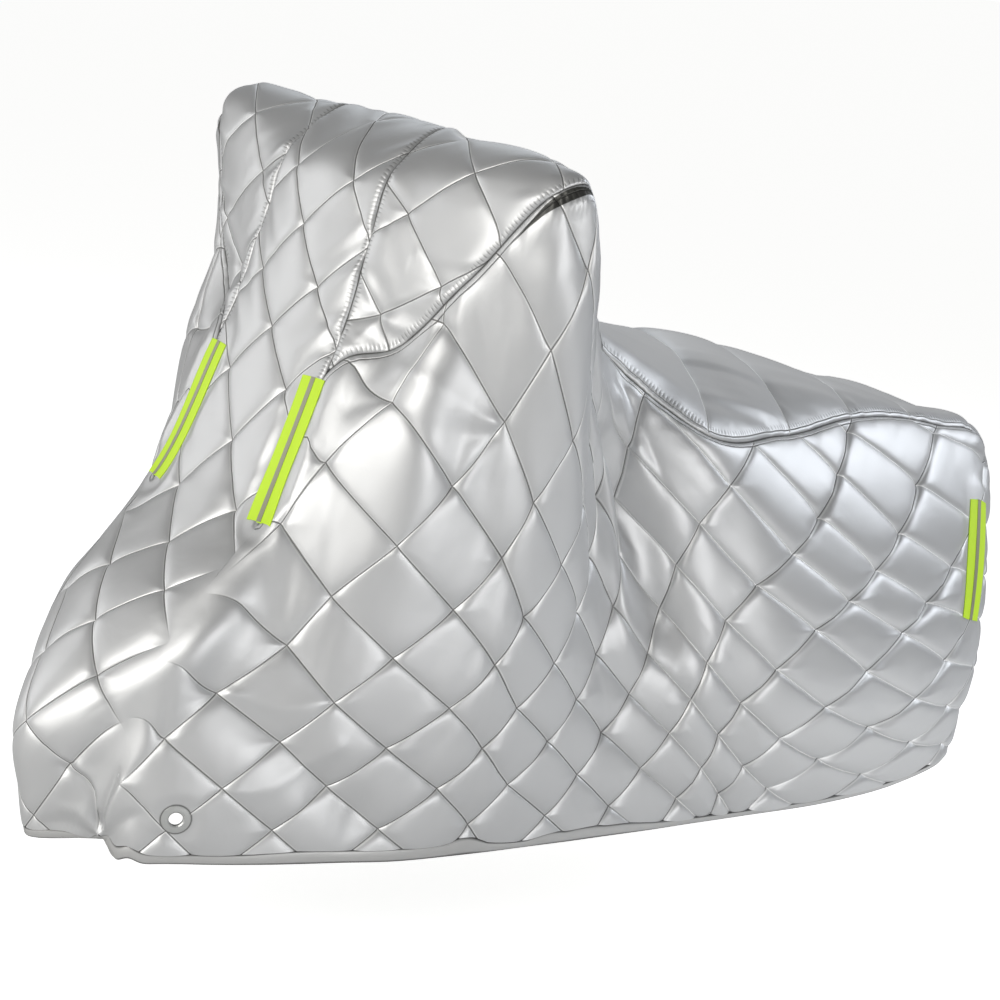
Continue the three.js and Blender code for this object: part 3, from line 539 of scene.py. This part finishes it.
def silver_cloth(name, band, rungs, pleat=False):
    """Satin silver cloth with sunk stitch lines, painted shade in them and painted highlights beside them.
    Distances are in millimetres, heights in metres. band is the width of the flat fold along a seam,
    with a stitch line at its edge. rungs says from where to where the thread draws the cloth into ribs,
    with painted shade between them. pleat adds the slit beside the side seam, with painted shade in its
    gap, and the line around the eyelet."""
    material, tree, shader = new_material(name, SILVER, roughness=0.47, metallic=0.68)
    line_i, line_j = value_of(tree, "line_i"), value_of(tree, "line_j")
    seam, place = value_of(tree, "seam"), value_of(tree, "place")
    drawn = less(tree, 1.0, value_of(tree, "plain"))
    tail = value_of(tree, "rear")
    front = less(tree, 1.0, tail)

    # Stitch lines: painted shade in each groove and painted highlights on the lips beside it; at the tail,
    # a painted highlight in place of the shade along the lines that run one way
    shade_i = times(tree, bell(tree, line_i, SHADE_HALF), front)
    stitch = most(tree, shade_i, bell(tree, line_j, SHADE_HALF))
    groove = most(tree, bell(tree, line_i, SUNK), bell(tree, line_j, SUNK))
    highlight_i = times(tree, bell(tree, less(tree, line_i, HIGHLIGHT_ASIDE), 0.8), front)
    highlight_j = bell(tree, less(tree, line_j, HIGHLIGHT_ASIDE), 0.8)
    tail_highlight = times(tree, bell(tree, line_i, 1.1), times(tree, tail, 1.8))
    highlight = times(tree, most(tree, most(tree, highlight_i, highlight_j), tail_highlight), drawn)
    height = times(tree, times(tree, groove, drawn), -0.0009)
    dark = times(tree, times(tree, stitch, drawn), 0.85)

    # Small creases all over
    where = node(tree, "ShaderNodeTexCoord").outputs["Object"]
    crease = node(tree, "ShaderNodeTexNoise", Scale=22.0, Detail=2.0, Roughness=0.5, Distortion=0.8)
    tree.links.new(where, crease.inputs["Vector"])
    height = plus(tree, height, times(tree, crease.outputs["Fac"], 0.0004))

    # The seam and the stitch line of its flat fold, each sunk and darkened with painted shade, and the ribs
    # that the thread draws, with painted shade in their hollows
    seam_width = 1.6 if band else 1.0
    dark = most(tree, dark, times(tree, bell(tree, seam, seam_width), 0.92))
    height = less(tree, height, times(tree, bell(tree, seam, 2.2), 0.0012))
    if band:
        fold = bell(tree, less(tree, seam, band), 0.9)
        height = less(tree, height, times(tree, fold, 0.001))
        dark = most(tree, dark, times(tree, fold, 0.75))
    if rungs:
        middle, half = (rungs[0] + rungs[1]) / 2, (rungs[1] - rungs[0]) / 2
        zone = bell(tree, less(tree, seam, middle), half)
        wobble = node(tree, "ShaderNodeTexNoise", Scale=30.0, Detail=1.0)
        tree.links.new(where, wobble.inputs["Vector"])
        uneven = times(tree, wobble.outputs["Fac"], 9.0)
        turn = plus(tree, times(tree, place, 2 * math.pi / RUNG_PITCH), uneven)
        rung = times(tree, zone, math_node(tree, "SINE", turn))
        height = plus(tree, height, times(tree, rung, 0.00013))
        # painted shade in the hollows between the ribs
        low = most(tree, less(tree, times(tree, rung, -1.0), 0.3), 0.0)
        dark = most(tree, dark, times(tree, low, 0.7))

    # The slit, with painted shade in its gap, and the line around the eyelet
    if pleat:
        t = math_node(tree, "DIVIDE", less(tree, place, SLIT[0]), SLIT[1] - SLIT[0])
        t = least(tree, most(tree, t, 0.0), 1.0)
        gape = math_node(tree, "SINE", times(tree, times(tree, t, t), math.pi))
        aside = math_node(tree, "ABSOLUTE", less(tree, seam, SLIT_ASIDE))
        inside = less(tree, times(tree, gape, SLIT_HALF), aside)
        dark = most(tree, dark, least(tree, most(tree, inside, 0.0), 1.0))
        rim = less(tree, value_of(tree, "eyelet"), EYELET_RIM)
        dark = most(tree, dark, times(tree, bell(tree, rim, 1.3), 0.8))

    bump = node(tree, "ShaderNodeBump", Strength=1.0, Distance=1.0)
    tree.links.new(height, bump.inputs["Height"])
    tree.links.new(bump.outputs["Normal"], shader.inputs["Normal"])
    # The silver with painted highlights on the lips, then painted shade over it
    highlighted = color_mix(tree, times(tree, highlight, 0.5), (*SILVER, 1), PAINTED_HIGHLIGHT)
    tree.links.new(color_mix(tree, dark, highlighted, DARK), shader.inputs["Base Color"])
    return material


FRONT_CLOTH = silver_cloth("silver_cloth_front", band=0, rungs=(1, 12))
SEAT_CLOTH = silver_cloth("silver_cloth_seat", band=8, rungs=(8, 20))
SIDE_CLOTH = silver_cloth("silver_cloth_side", band=9, rungs=None, pleat=True)

# Places on the cloth, as along and height above the hem
STRIPS = [("front", (457, 532), (610, 768)), ("rear", (2199, 308), (2240, 503))]  # name, from, to
STRIP_WIDTH = 48.0
EYELET = (254.0, 73.0)
EYELET_HOLE, EYELET_FLAT = 13.0, 24.0  # radius cut out of the cloth under the ring, and pressed flat
TAPE = 12.0  # height of the hem tape


def hem_top(at):
    """Height of the hem tape's upper edge, measured across the surface."""
    slope = (rib_length(np.clip(at + 2, 0, STERN)) - rib_length(np.clip(at - 2, 0, STERN))) / 4
    return TAPE * np.hypot(1, slope)


def nose_corner(x, y, end, fade, width):
    """1 along the corner of the nose, 0 away from it. It fades out up to end and over width beside it."""
    beside = np.abs(np.abs(y) - edge_seam(np.clip(x, 0, STERN)))
    return np.clip((end - x) / fade, 0, 1) * np.exp(-(beside / width) ** 2)


def shown_lines(x, y):
    """1 where the stitch lines show, 0 where they fade out along the corner of the nose."""
    on_side = np.abs(y) > edge_seam(np.clip(x, 0, STERN))
    return 1 - nose_corner(x, y, 455, 60, np.where(on_side, 48, 24))


def above_hem(place, side):
    """The point of the surface at a place along and above the hem."""
    along = np.array([place[0]])
    return surface(along, side * (rib_length(along) - place[1]))[0]


def eyelet_distance(x, y):
    """Distance from the middle of the eyelet on the same side."""
    near, far = (above_hem(EYELET, s) for s in (-1, 1))
    return np.linalg.norm(surface(x, y) - np.where((y > 0)[:, None], far, near), axis=1)


def pressed(x, y):
    """0 under the strips and around the eyelets, where the wadding is pressed flat, 1 elsewhere."""
    p = surface(x, y)
    side = np.where(y > 0, 1, -1)
    clear = np.full(len(x), 1e3)
    for _, start, end in STRIPS:
        for s in (-1, 1):
            d, _ = off_line(p, above_hem(start, s), above_hem(end, s))
            clear = np.minimum(clear, np.where(side == s, d - STRIP_WIDTH / 2 - 2, 1e3))
    clear = np.minimum(clear, eyelet_distance(x, y) - EYELET_FLAT)
    t = np.clip(clear / 22, 0, 1)
    return t * t * (3 - 2 * t)


LAP_WIDTH, TUCK_WIDTH = 24, 6  # how far a tuck slopes on its gentle side, and elsewhere
LAP_SHARE, TUCK_SHARE = 2.0, 0.6  # depth of a tuck along the lapped lines, and along the others


def pillow(dome, rear_dome=None, turn=0, lap=(0, 0)):
    """Heights of a diamond quilt: nearly flat cells, sloping down to a crisp crease at each stitch
    line, with a tapered tuck along the lines and a small fold beside each crossing. dome is their
    height in front and rear_dome towards the tail. lap names the side of the lines on which a tuck
    slopes gently. turn gives the far side its own unevenness."""

    def height(x, y, i, j, off_i, off_j, seam, place):
        ci, cj, ni, nj = np.floor(i), np.floor(j), np.round(i), np.round(j)

        # Cells, each a little higher or lower and tilted its own way
        u, v = np.abs(np.sin(math.pi * i)), np.abs(np.sin(math.pi * j))
        lean_i, lean_j = scatter(ci, cj + turn, 2) - 0.5, scatter(ci, cj + turn, 4) - 0.5
        near_line = np.maximum(-4 * np.log(np.exp(-off_i / 4) + np.exp(-off_j / 4)), 0)
        shape = 0.7 * (1 - np.exp(-near_line / 7)) + 0.3 * u * v
        full = dome
        if rear_dome:
            t = np.clip((x - 1300) / 450, 0, 1)
            full = dome + (rear_dome - dome) * t * t * (3 - 2 * t)
        rise = full * (0.75 + 0.5 * scatter(ci, cj + turn, 8)) * shape
        rise += full * u * v * 1.1 * (lean_i * (i - ci - 0.5) + lean_j * (j - cj - 0.5))

        # Tucks along the stitch lines
        depth = full * (0.3 + 0.55 * scatter(ni, nj + turn, 6))
        reach_i = 18 + 40 * scatter(ni, cj + turn, 10)
        reach_j = 18 + 40 * scatter(ci, nj + turn, 12)
        fade_i, fade_j = (1 - (2 * (j - nj)) ** 2) ** 2, (1 - (2 * (i - ni)) ** 2) ** 2
        back = towards_tail(x) if rear_dome else 0
        fade_j = fade_j + 0.5 * back * (1 - fade_j)
        reach_j = reach_j * (1 + 2 * back)
        wide_i = np.where(np.sign(i - ni) == lap[0], LAP_WIDTH, TUCK_WIDTH) if lap[0] else TUCK_WIDTH
        wide_j = np.where(np.sign(j - nj) == lap[1], LAP_WIDTH, TUCK_WIDTH) if lap[1] else TUCK_WIDTH
        deep_i, deep_j = (depth * (LAP_SHARE if side else TUCK_SHARE) for side in lap)
        rise -= deep_i * fade_i * np.exp(-off_i / wide_i - off_j / reach_i)
        rise -= deep_j * fade_j * np.exp(-off_j / wide_j - off_i / reach_j)

        # Folds beside the crossings
        out = np.hypot(off_i, off_j) + 0.01
        beside = (i - ni) * (j - nj) < 0
        lean = 0.5 * scatter(ci, cj + turn, 14) - 0.25
        crest = np.clip(1 - np.abs((off_i - off_j) / out - lean) / 0.55, 0, 1)
        strength = scatter(ni + 0.5 * np.sign(i - ni), nj + turn, 16) - 0.3
        fold = (out / 16) * np.exp(1 - out / 16) * crest * strength
        rise += np.where(beside, 0.4 * full * fold, 0)

        # Even wadding where no line shows, and slow waves over everything
        show = shown_lines(x, y)
        rise = rise * show + 0.75 * full * (1 - show)
        wave = 0.9 * noise(x / 95 + 7, y / 80 + turn, 3) + 0.25 * noise(x / 31 + 3, y / 31 + turn, 5)
        soft = 1 - np.exp(-seam / 16)
        rise = (rise + wave) * soft * pressed(x, y)

        # Puckers along the seam, and the flap of the slit
        strong, reach, beat = (3.6, 34, 21) if rear_dome else (7.0, 46, 26)
        slant = (place + 0.8 * seam) / beat
        pucker = np.exp(-seam / reach) * (1 - np.exp(-seam / 9)) * noise(slant, seam / 90 + turn, 11)
        rise = rise + strong * pucker * pressed(x, y)
        if rear_dome:
            t = np.clip((place - SLIT[0]) / (SLIT[1] - SLIT[0]), 0, 1)
            flap = 5 * np.exp(-((seam - 25) / 8) ** 2) - 5 * np.exp(-((seam - SLIT_ASIDE) / 7) ** 2)
            rise += np.sin(math.pi * t * t) * flap
        return 3.2 + rise - 2.2 * np.exp(-(seam / 3.0) ** 2)

    return height


FRONT_ROWS = [(-14, -230, -20), (-12, -100, -20), (-10, 30, -20), (-8, 163, -14), (-6, 285, -8),
              (-4, 400, -10), (-2, 522, -6), (0, 657, 6), (2, 833, 10), (4, 1018, 0), (6, 1200, 0),
              (8, 1380, 0), (10, 1560, 0), (12, 1740, 0)]  # row, along, sideways shift
FRONT_PITCH = 76.0
CROSS_SEAM = along_rib[11]


def front_pattern(i, j):
    row = [r[0] for r in FRONT_ROWS]
    along = smooth(row, [r[1] for r in FRONT_ROWS], i + j)
    return along, FRONT_PITCH * (j - i) + smooth(row, [r[2] for r in FRONT_ROWS], i + j)


def front_bounds(x, y):
    at = np.clip(x, 0, STERN)
    half = np.minimum(inner_seam(at), rib_length(at) - hem_top(at))
    return np.minimum(np.minimum(half - np.abs(y), x - TAPE), CROSS_SEAM - x)


front_seams = [seam_line(inner_seam, 455, CROSS_SEAM, side) for side in (-1, 1)]
front = quilted_panel("front_cloth", (-10, 9), (-10, 9), front_pattern, front_bounds, front_seams,
                      pillow(dome=4.6, lap=(0, 1)))
front.data.materials.append(FRONT_CLOTH)
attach(front, "root")
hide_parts("front_panel")

# Seat panel
# The same cloth over the seat and down the tail, quilted in one direction only, with slanted lines.
# It is sewn to the front panel in front and to the side panels along its edges.
SEAT_LINES = (1640.0, 168.0, 0.27)  # along at the first line, spacing, slant
SEAT_STRAND = 84.0


def seat_pattern(i, j):
    first, spacing, slant = SEAT_LINES
    return first + i * spacing + slant * j * SEAT_STRAND, j * SEAT_STRAND


def seat_bounds(x, y):
    at = np.clip(x, 0, STERN)
    half = np.minimum(edge_seam(at), rib_length(at) - hem_top(at))
    return np.minimum(np.minimum(half - np.abs(y), x - CROSS_SEAM), STERN - TAPE - x)


def seat_height(x, y, i, j, off_i, off_j, seam, place):
    shape = 0.6 * (1 - np.exp(-off_i / 11)) + 0.4 * np.abs(np.sin(math.pi * i))
    bulge = shape * (0.7 + 0.6 * scatter(np.floor(i), 0, 8))
    streak = noise((y + 0.3 * (x - 1500)) / 30, x / 240, 25) * np.exp(-np.clip(x - 1600, 0, None) / 420)
    wave = 1.6 * noise(x / 110, y / 170 + 5, 21) + 0.5 * noise(x / 42, y / 60, 23) + 3.0 * streak
    soft = 1 - np.exp(-seam / 18)
    pucker = np.exp(-seam / 34) * (1 - np.exp(-seam / 9)) * noise(place / 14, seam / 90, 27)
    rise = (6.5 * bulge + wave) * soft
    return 3.2 + rise + 3.4 * pucker - 2.6 * np.exp(-(seam / 3.0) ** 2)


seat_seams = [seam_line(edge_seam, CROSS_SEAM, STERN, side) for side in (-1, 1)]
seat = quilted_panel("seat_cloth", (-3, 9), (-5, 5), seat_pattern, seat_bounds, seat_seams, seat_height,
                     fine=1.1, taut=0)
no_lines = np.full(len(seat.data.vertices), FAR_OFF, np.float32)
seat.data.attributes["line_j"].data.foreach_set("value", no_lines)
seat.data.materials.append(SEAT_CLOTH)
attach(seat, "root")
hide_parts("seat_panel")

# Brow panels
# Leaf-shaped panels of the quilted cloth on both sides of the front panel. They widen over the
# shoulders of the cover and close to a point at both ends. Each is sewn between front and side panel.
BROW = (892.0, 195.0, 72.0, 95.0)  # along and across at a crossing, row pitch, column pitch

for side_name, side in (("near", -1), ("far", 1)):
    def brow_bounds(x, y, side=side):
        at = np.clip(x, 0, STERN)
        inside = np.minimum(side * y - inner_seam(at), edge_seam(at) - side * y)
        return np.minimum(np.minimum(inside, x - along_rib[4]), along_rib[11] - x)

    def brow_pattern(i, j, side=side):
        along, across, row_pitch, column_pitch = BROW
        return along + row_pitch * (i + j), side * (across + column_pitch * (j - i))

    brow_seams = [seam_line(edge, along_rib[4], along_rib[11], side) for edge in (inner_seam, edge_seam)]
    brow = quilted_panel(f"{side_name}_brow_cloth", (-4, 6), (-4, 6), brow_pattern, brow_bounds, brow_seams,
                         pillow(dome=4.6, turn=20 + 20 * side, lap=(1, 0) if side < 0 else (0, 1)))
    brow.data.materials.append(FRONT_CLOTH)
    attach(brow, "root")
    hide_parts(f"{side_name}_brow_panel")

# Side panels
# The big quilted side panels, each cut in one piece from the nose to the tail and hanging from the
# edge seam to the hem. The solids split each into panel, front corner and eyelet patch; the cloth is one.
SIDE_COLUMNS = [(-24, -680, 0, 1.15), (-20, -220, 0, 1.15), (-16, 235, 0, 1.12), (-12, 700, 0, 1.07),
                (-8, 1066, 7, 1), (-4, 1405, 25, 0.98), (0, 1660, 22, 0.95), (4, 2125, 40, 0.84),
                (8, 2610, 30, 0.78), (12, 3080, 20, 0.75)]  # column, along, lean, lift
SIDE_ROWS = [(-8, 1750), (-6, 1480), (-4, 1210), (-2, 945), (0, 672), (2, 468), (4, 305), (6, 172),
             (8, 48), (10, -75), (12, -200)]  # row, height above the hem
REAR_SQUEEZE = 22.0  # millimetres by which each row above the third comes down at the tail
sewn_on = {"near": [], "far": []}

for side_name, side in (("near", -1), ("far", 1)):
    def side_bounds(x, y, side=side):
        at = np.clip(x, 0, STERN)
        height = rib_length(at) - side * y
        inside = np.minimum(height - hem_top(at), side * y - edge_seam(at))
        inside = np.minimum(inside, np.minimum(x, STERN - x))
        return np.minimum(inside, eyelet_distance(x, y) - EYELET_HOLE)

    def side_pattern(i, j, side=side):
        column = [c[0] for c in SIDE_COLUMNS]
        along, lean, lift = (smooth(column, [c[k] for c in SIDE_COLUMNS], j - i) for k in (1, 2, 3))
        low = np.clip((j - i + 3) / 4, 0, 1) * REAR_SQUEEZE
        height = lift * smooth([r[0] for r in SIDE_ROWS], [r[1] for r in SIDE_ROWS], i + j)
        height = height + low * np.minimum(i + j - 3, 0)
        x = along + lean * (i + j - 4)
        return x, side * (rib_length(np.clip(x, 0, STERN)) - height)

    side_seams = [seam_line(edge_seam, 455, STERN, side)]
    cloth = quilted_panel(f"{side_name}_side_cloth", (-5, 15), (-11, 11), side_pattern, side_bounds,
                          side_seams, pillow(dome=4.8, rear_dome=7.0, turn=20 + 20 * side, lap=(0, -1)))
    cloth.data.materials.append(SIDE_CLOTH)
    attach(cloth, "root")
    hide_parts(f"{side_name}_side_panel", f"{side_name}_front_corner", f"{side_name}_eyelet_patch")

# Hem tape
# A folded binding of the same cloth, sewn around the lower edge in two lengths. It is about 12 mm
# high and stands a little proud of the panels above it.
HEM_SILVER = (0.72, 0.72, 0.715)
hem_cloth, hem_tree, hem_shader = new_material("hem_tape", HEM_SILVER, roughness=0.4, metallic=0.5)

# Painted shade along its edges, with a row of stitches 3 mm in from each
hem_edge = value_of(hem_tree, "edge")
hem_line = times(hem_tree, bell(hem_tree, less(hem_tree, hem_edge, 3.0), 0.5), 0.5)
hem_dark = most(hem_tree, times(hem_tree, bell(hem_tree, hem_edge, 2.2), 0.95), hem_line)
hem_color = color_mix(hem_tree, hem_dark, (*HEM_SILVER, 1), (0.04, 0.04, 0.038, 1))
hem_tree.links.new(hem_color, hem_shader.inputs["Base Color"])
HEM_STEP = 6.0
HEM_PROFILE = [(0.0, 0.5), (0.02, 3.4), (0.2, 4.8), (0.8, 4.9), (0.97, 4.0), (1.03, 2.4), (0.97, -0.6),
               (0.5, -1.6), (0.03, -1.0)]  # share of the way up, height above the stitched-flat cloth


def tube_faces(points):
    """Faces of a tube whose rings are the rows of points."""
    n = np.arange(points.shape[0] * points.shape[1]).reshape(points.shape[:2])
    beside = np.roll(n, -1, axis=1)
    return np.stack([n[:-1], beside[:-1], beside[1:], n[1:]], -1).reshape(-1, 4)


for side_name, side in (("near", -1), ("far", 1)):
    # Around the bow, along the side and around the stern: the tape's lower edge, then its upper one
    bow = np.linspace(0.4, rib_length(np.array([0.0]))[0], 16)[:-1]
    run = np.linspace(0, STERN, round(STERN / HEM_STEP))
    stern = np.linspace(rib_length(np.array([STERN]))[0], 0.4, 28)[1:]
    hem_x = np.concatenate([np.zeros(len(bow)), run, np.full(len(stern), STERN)])
    hem_y = np.concatenate([bow, rib_length(run), stern])
    low = np.clip(run, TAPE, STERN - TAPE)
    top_x = np.concatenate([np.full(len(bow), TAPE), low, np.full(len(stern), STERN - TAPE)])
    top_y = np.concatenate([bow, rib_length(low) - hem_top(low), stern])
    loops = []
    for share, rise in HEM_PROFILE:
        x = hem_x + (top_x - hem_x) * share
        y = side * (hem_y + (top_y - hem_y) * share)
        loops.append(lay(x, y, np.full(len(x), rise)))
    points = np.stack(loops, 1)
    quads = tube_faces(points)
    quads = quads if side < 0 else quads[:, ::-1]
    from_edge = [TAPE * max(min(share, 1 - share), 0) for share, _ in HEM_PROFILE]
    edge = np.tile(from_edge, len(points))
    tape = mesh_object(f"{side_name}_hem", points.reshape(-1, 3), quads, {"edge": edge})
    tape.data.materials.append(hem_cloth)
    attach(tape, "root")
    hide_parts(f"{side_name}_hem_tape")
    sewn_on[side_name].append(tape)

# Reflective strips
# Fluorescent yellow-green woven tape with a grey reflective stripe down its middle, two on each side:
# one over the seam on the nose, one upright at the tail. They are stitched flat on the cloth.
lime, _, _ = new_material("lime_strip", (0.58, 0.86, 0.03), roughness=0.55, metallic=0.0)
grey, _, _ = new_material("grey_stripe", (0.31, 0.31, 0.22), roughness=0.4, metallic=0.2)
STRIPE_WIDTH = 8.5
STRIP_OUTLINE = [(-0.5, 0), (-0.5, 1), (-0.46, 1.15), (-0.3, 1.15), (-0.1, 1.15), (0.1, 1.15), (0.3, 1.15),
                 (0.46, 1.15), (0.5, 1), (0.5, 0)]  # share of the width, share of the thickness


def strip_piece(name, side, start, end, width, rise, thick):
    """A flat tape on the cloth between two places. rise is the height of its underside."""
    share = np.linspace(0, 1, 48)
    x = start[0] + (end[0] - start[0]) * share
    y = side * (rib_length(x) - (start[1] + (end[1] - start[1]) * share))
    du, dv, out = frame_at(x, y)
    a, b = surface(x[:1], y[:1])[0], surface(x[-1:], y[-1:])[0]
    sideways = np.cross(out, b - a)
    sideways /= np.linalg.norm(sideways, axis=1)[:, None]

    # The steps on the chart that come to one millimetre sideways
    uu, uv, vv = (du * du).sum(1), (du * dv).sum(1), (dv * dv).sum(1)
    su, sv = (sideways * du).sum(1), (sideways * dv).sum(1)
    det = uu * vv - uv * uv
    step_x, step_y = (su * vv - sv * uv) / det, (sv * uu - su * uv) / det
    loops = [lay(x + step_x * width * p, y + step_y * width * p, np.full(len(x), rise + thick * q))
             for p, q in STRIP_OUTLINE]
    points = np.stack(loops, 1)
    return mesh_object(name, points.reshape(-1, 3), tube_faces(points))


for side_name, side in (("near", -1), ("far", 1)):
    for strip_name, start, end in STRIPS:
        for label, width, rise, thick, finish, slot in (
            ("strip", STRIP_WIDTH, 3.4, 1.1, lime, "lime_strip"),
            ("stripe", STRIPE_WIDTH, 4.9, 0.5, grey, "grey_stripe"),
        ):
            solid = f"{side_name}_{strip_name}_{label}"
            piece = strip_piece(f"{solid}_tape", side, start, end, width, rise, thick)
            piece.data.materials.append(finish)
            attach(piece, "root")
            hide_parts(solid)
            sewn_on[side_name].append(piece)

# Eyelets
# Pressed rings around the hole in both front corners near the hem. They are punched through the
# cloth and its lining, and are the solids themselves.
metal, _, _ = new_material("eyelet_metal", (0.55, 0.56, 0.55), roughness=0.4, metallic=0.8)
for side_name in ("near", "far"):
    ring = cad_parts[f"{side_name}_eyelet"]
    ring.data.materials.clear()
    ring.data.materials.append(metal)
    ring.data.shade_smooth()
    sewn_on[side_name].append(ring)

# Floor, light and camera
# A plain white floor and big soft lights all round. The warm one in front is the strongest. The
# floor glows a little beside the tail, a painted pool of light that lights the cloth and that it mirrors.
floor_mesh = bpy.data.meshes.new("floor")
FLOOR = -CROWN[2] / 1000
FLOOR_HALF = 150
GLOW_SPOT = (1.5, -0.9, FLOOR)
GLOW_REACH, GLOW = 0.8, 0.5
FLOOR_SHINE, FLOOR_SEEN = 0.05, 0.78  # light that it gives, and how much more the camera sees
WORLD_SHINE, WORLD_SEEN = 0.17, 0.83  # the same for the white all round
corners = [(-1, -1), (1, -1), (1, 1), (-1, 1)]
floor_mesh.from_pydata([(x * FLOOR_HALF, y * FLOOR_HALF, FLOOR) for x, y in corners], [], [(0, 1, 2, 3)])
floor = bpy.data.objects.new("floor", floor_mesh)
bpy.context.scene.collection.objects.link(floor)
floor_paint, floor_tree, floor_shader = new_material("floor_white", (0.8, 0.8, 0.8), roughness=0.8,
                                                     metallic=0.0)
floor_shader.inputs["Emission Color"].default_value = (1, 1, 0.99, 1)
seen = node(floor_tree, "ShaderNodeLightPath").outputs["Is Camera Ray"]
spot = node(floor_tree, "ShaderNodeTexCoord").outputs["Object"]
away = node(floor_tree, "ShaderNodeVectorMath", operation="DISTANCE")
floor_tree.links.new(spot, away.inputs[0])
away.inputs[1].default_value = GLOW_SPOT
# painted pool of light: the floor glows around GLOW_SPOT and lights the cloth from there
glow = times(floor_tree, bell(floor_tree, away.outputs["Value"], GLOW_REACH), GLOW)
glow = plus(floor_tree, glow, FLOOR_SHINE)
shine = plus(floor_tree, times(floor_tree, seen, FLOOR_SEEN), glow)
floor_tree.links.new(shine, floor_shader.inputs["Emission Strength"])
floor.data.materials.append(floor_paint)

MIDDLE = (0.45, 0, -0.55)  # the middle of the cover, which all lights face
SOFT_BOX = (2.4, 2.4)


def area_light(name, place, size, power, color=(1, 1, 1)):
    """A soft light at a place, in metres and watts."""
    data = bpy.data.lights.new(name, "AREA")
    data.shape, data.size, data.size_y = "RECTANGLE", size[0], size[1]
    data.energy, data.color = power, color
    lamp = bpy.data.objects.new(name, data)
    bpy.context.scene.collection.objects.link(lamp)
    lamp.location = place
    lamp.rotation_euler = (Vector(MIDDLE) - Vector(place)).to_track_quat("-Z", "Y").to_euler()


area_light("front", (-3.9, -0.9, 0.4), SOFT_BOX, 100, (1.0, 0.985, 0.95))
area_light("side", (0.2, -4.4, -0.5), (2.4, 1.3), 46)
area_light("front_far", (-2.6, 3.4, 0.3), SOFT_BOX, 36)
area_light("rear_near", (3.9, -1.5, 1.6), SOFT_BOX, 68, (0.9, 0.94, 1.0))
area_light("behind", (3.6, 2.6, 1.8), SOFT_BOX, 14)
area_light("above", (1.9, 3.0, 2.6), SOFT_BOX, 24, (0.9, 0.95, 1.0))

world = bpy.data.worlds.new("studio")
bpy.context.scene.world = world
world.use_nodes = True
world_tree = world.node_tree
world_tree.nodes["Background"].inputs["Color"].default_value = (1, 1, 1, 1)
seen = node(world_tree, "ShaderNodeLightPath").outputs["Is Camera Ray"]
strength = plus(world_tree, times(world_tree, seen, WORLD_SEEN), WORLD_SHINE)
world_tree.links.new(strength, world_tree.nodes["Background"].inputs["Strength"])

# The photo's own camera, tilted to one side
AZIMUTH, DIP, ROLL = (math.radians(v) for v in (40.0, 11.2, 9.0))
AIM = Vector((0.542, 0, 0.649)) - Vector(CROWN / 1000)
DISTANCE = 4.85
LENS, SENSOR = 108, 36
forward = Vector((math.sin(AZIMUTH) * math.cos(DIP), math.cos(AZIMUTH) * math.cos(DIP), -math.sin(DIP)))
level = Vector((math.cos(AZIMUTH), -math.sin(AZIMUTH), 0))
upright = level.cross(forward)
right = level * math.cos(ROLL) + upright * math.sin(ROLL)
up = upright * math.cos(ROLL) - level * math.sin(ROLL)
camera_data = bpy.data.cameras.new("camera")
camera_data.lens, camera_data.sensor_width = LENS, SENSOR
camera = bpy.data.objects.new("camera", camera_data)
bpy.context.scene.collection.objects.link(camera)
turned = Matrix((right, up, -forward)).transposed().to_4x4()
camera.matrix_world = Matrix.Translation(AIM - forward * DISTANCE) @ turned
bpy.context.scene.camera = camera
bpy.context.scene.view_settings.view_transform = "Standard"
bpy.context.scene.view_settings.look = "None"
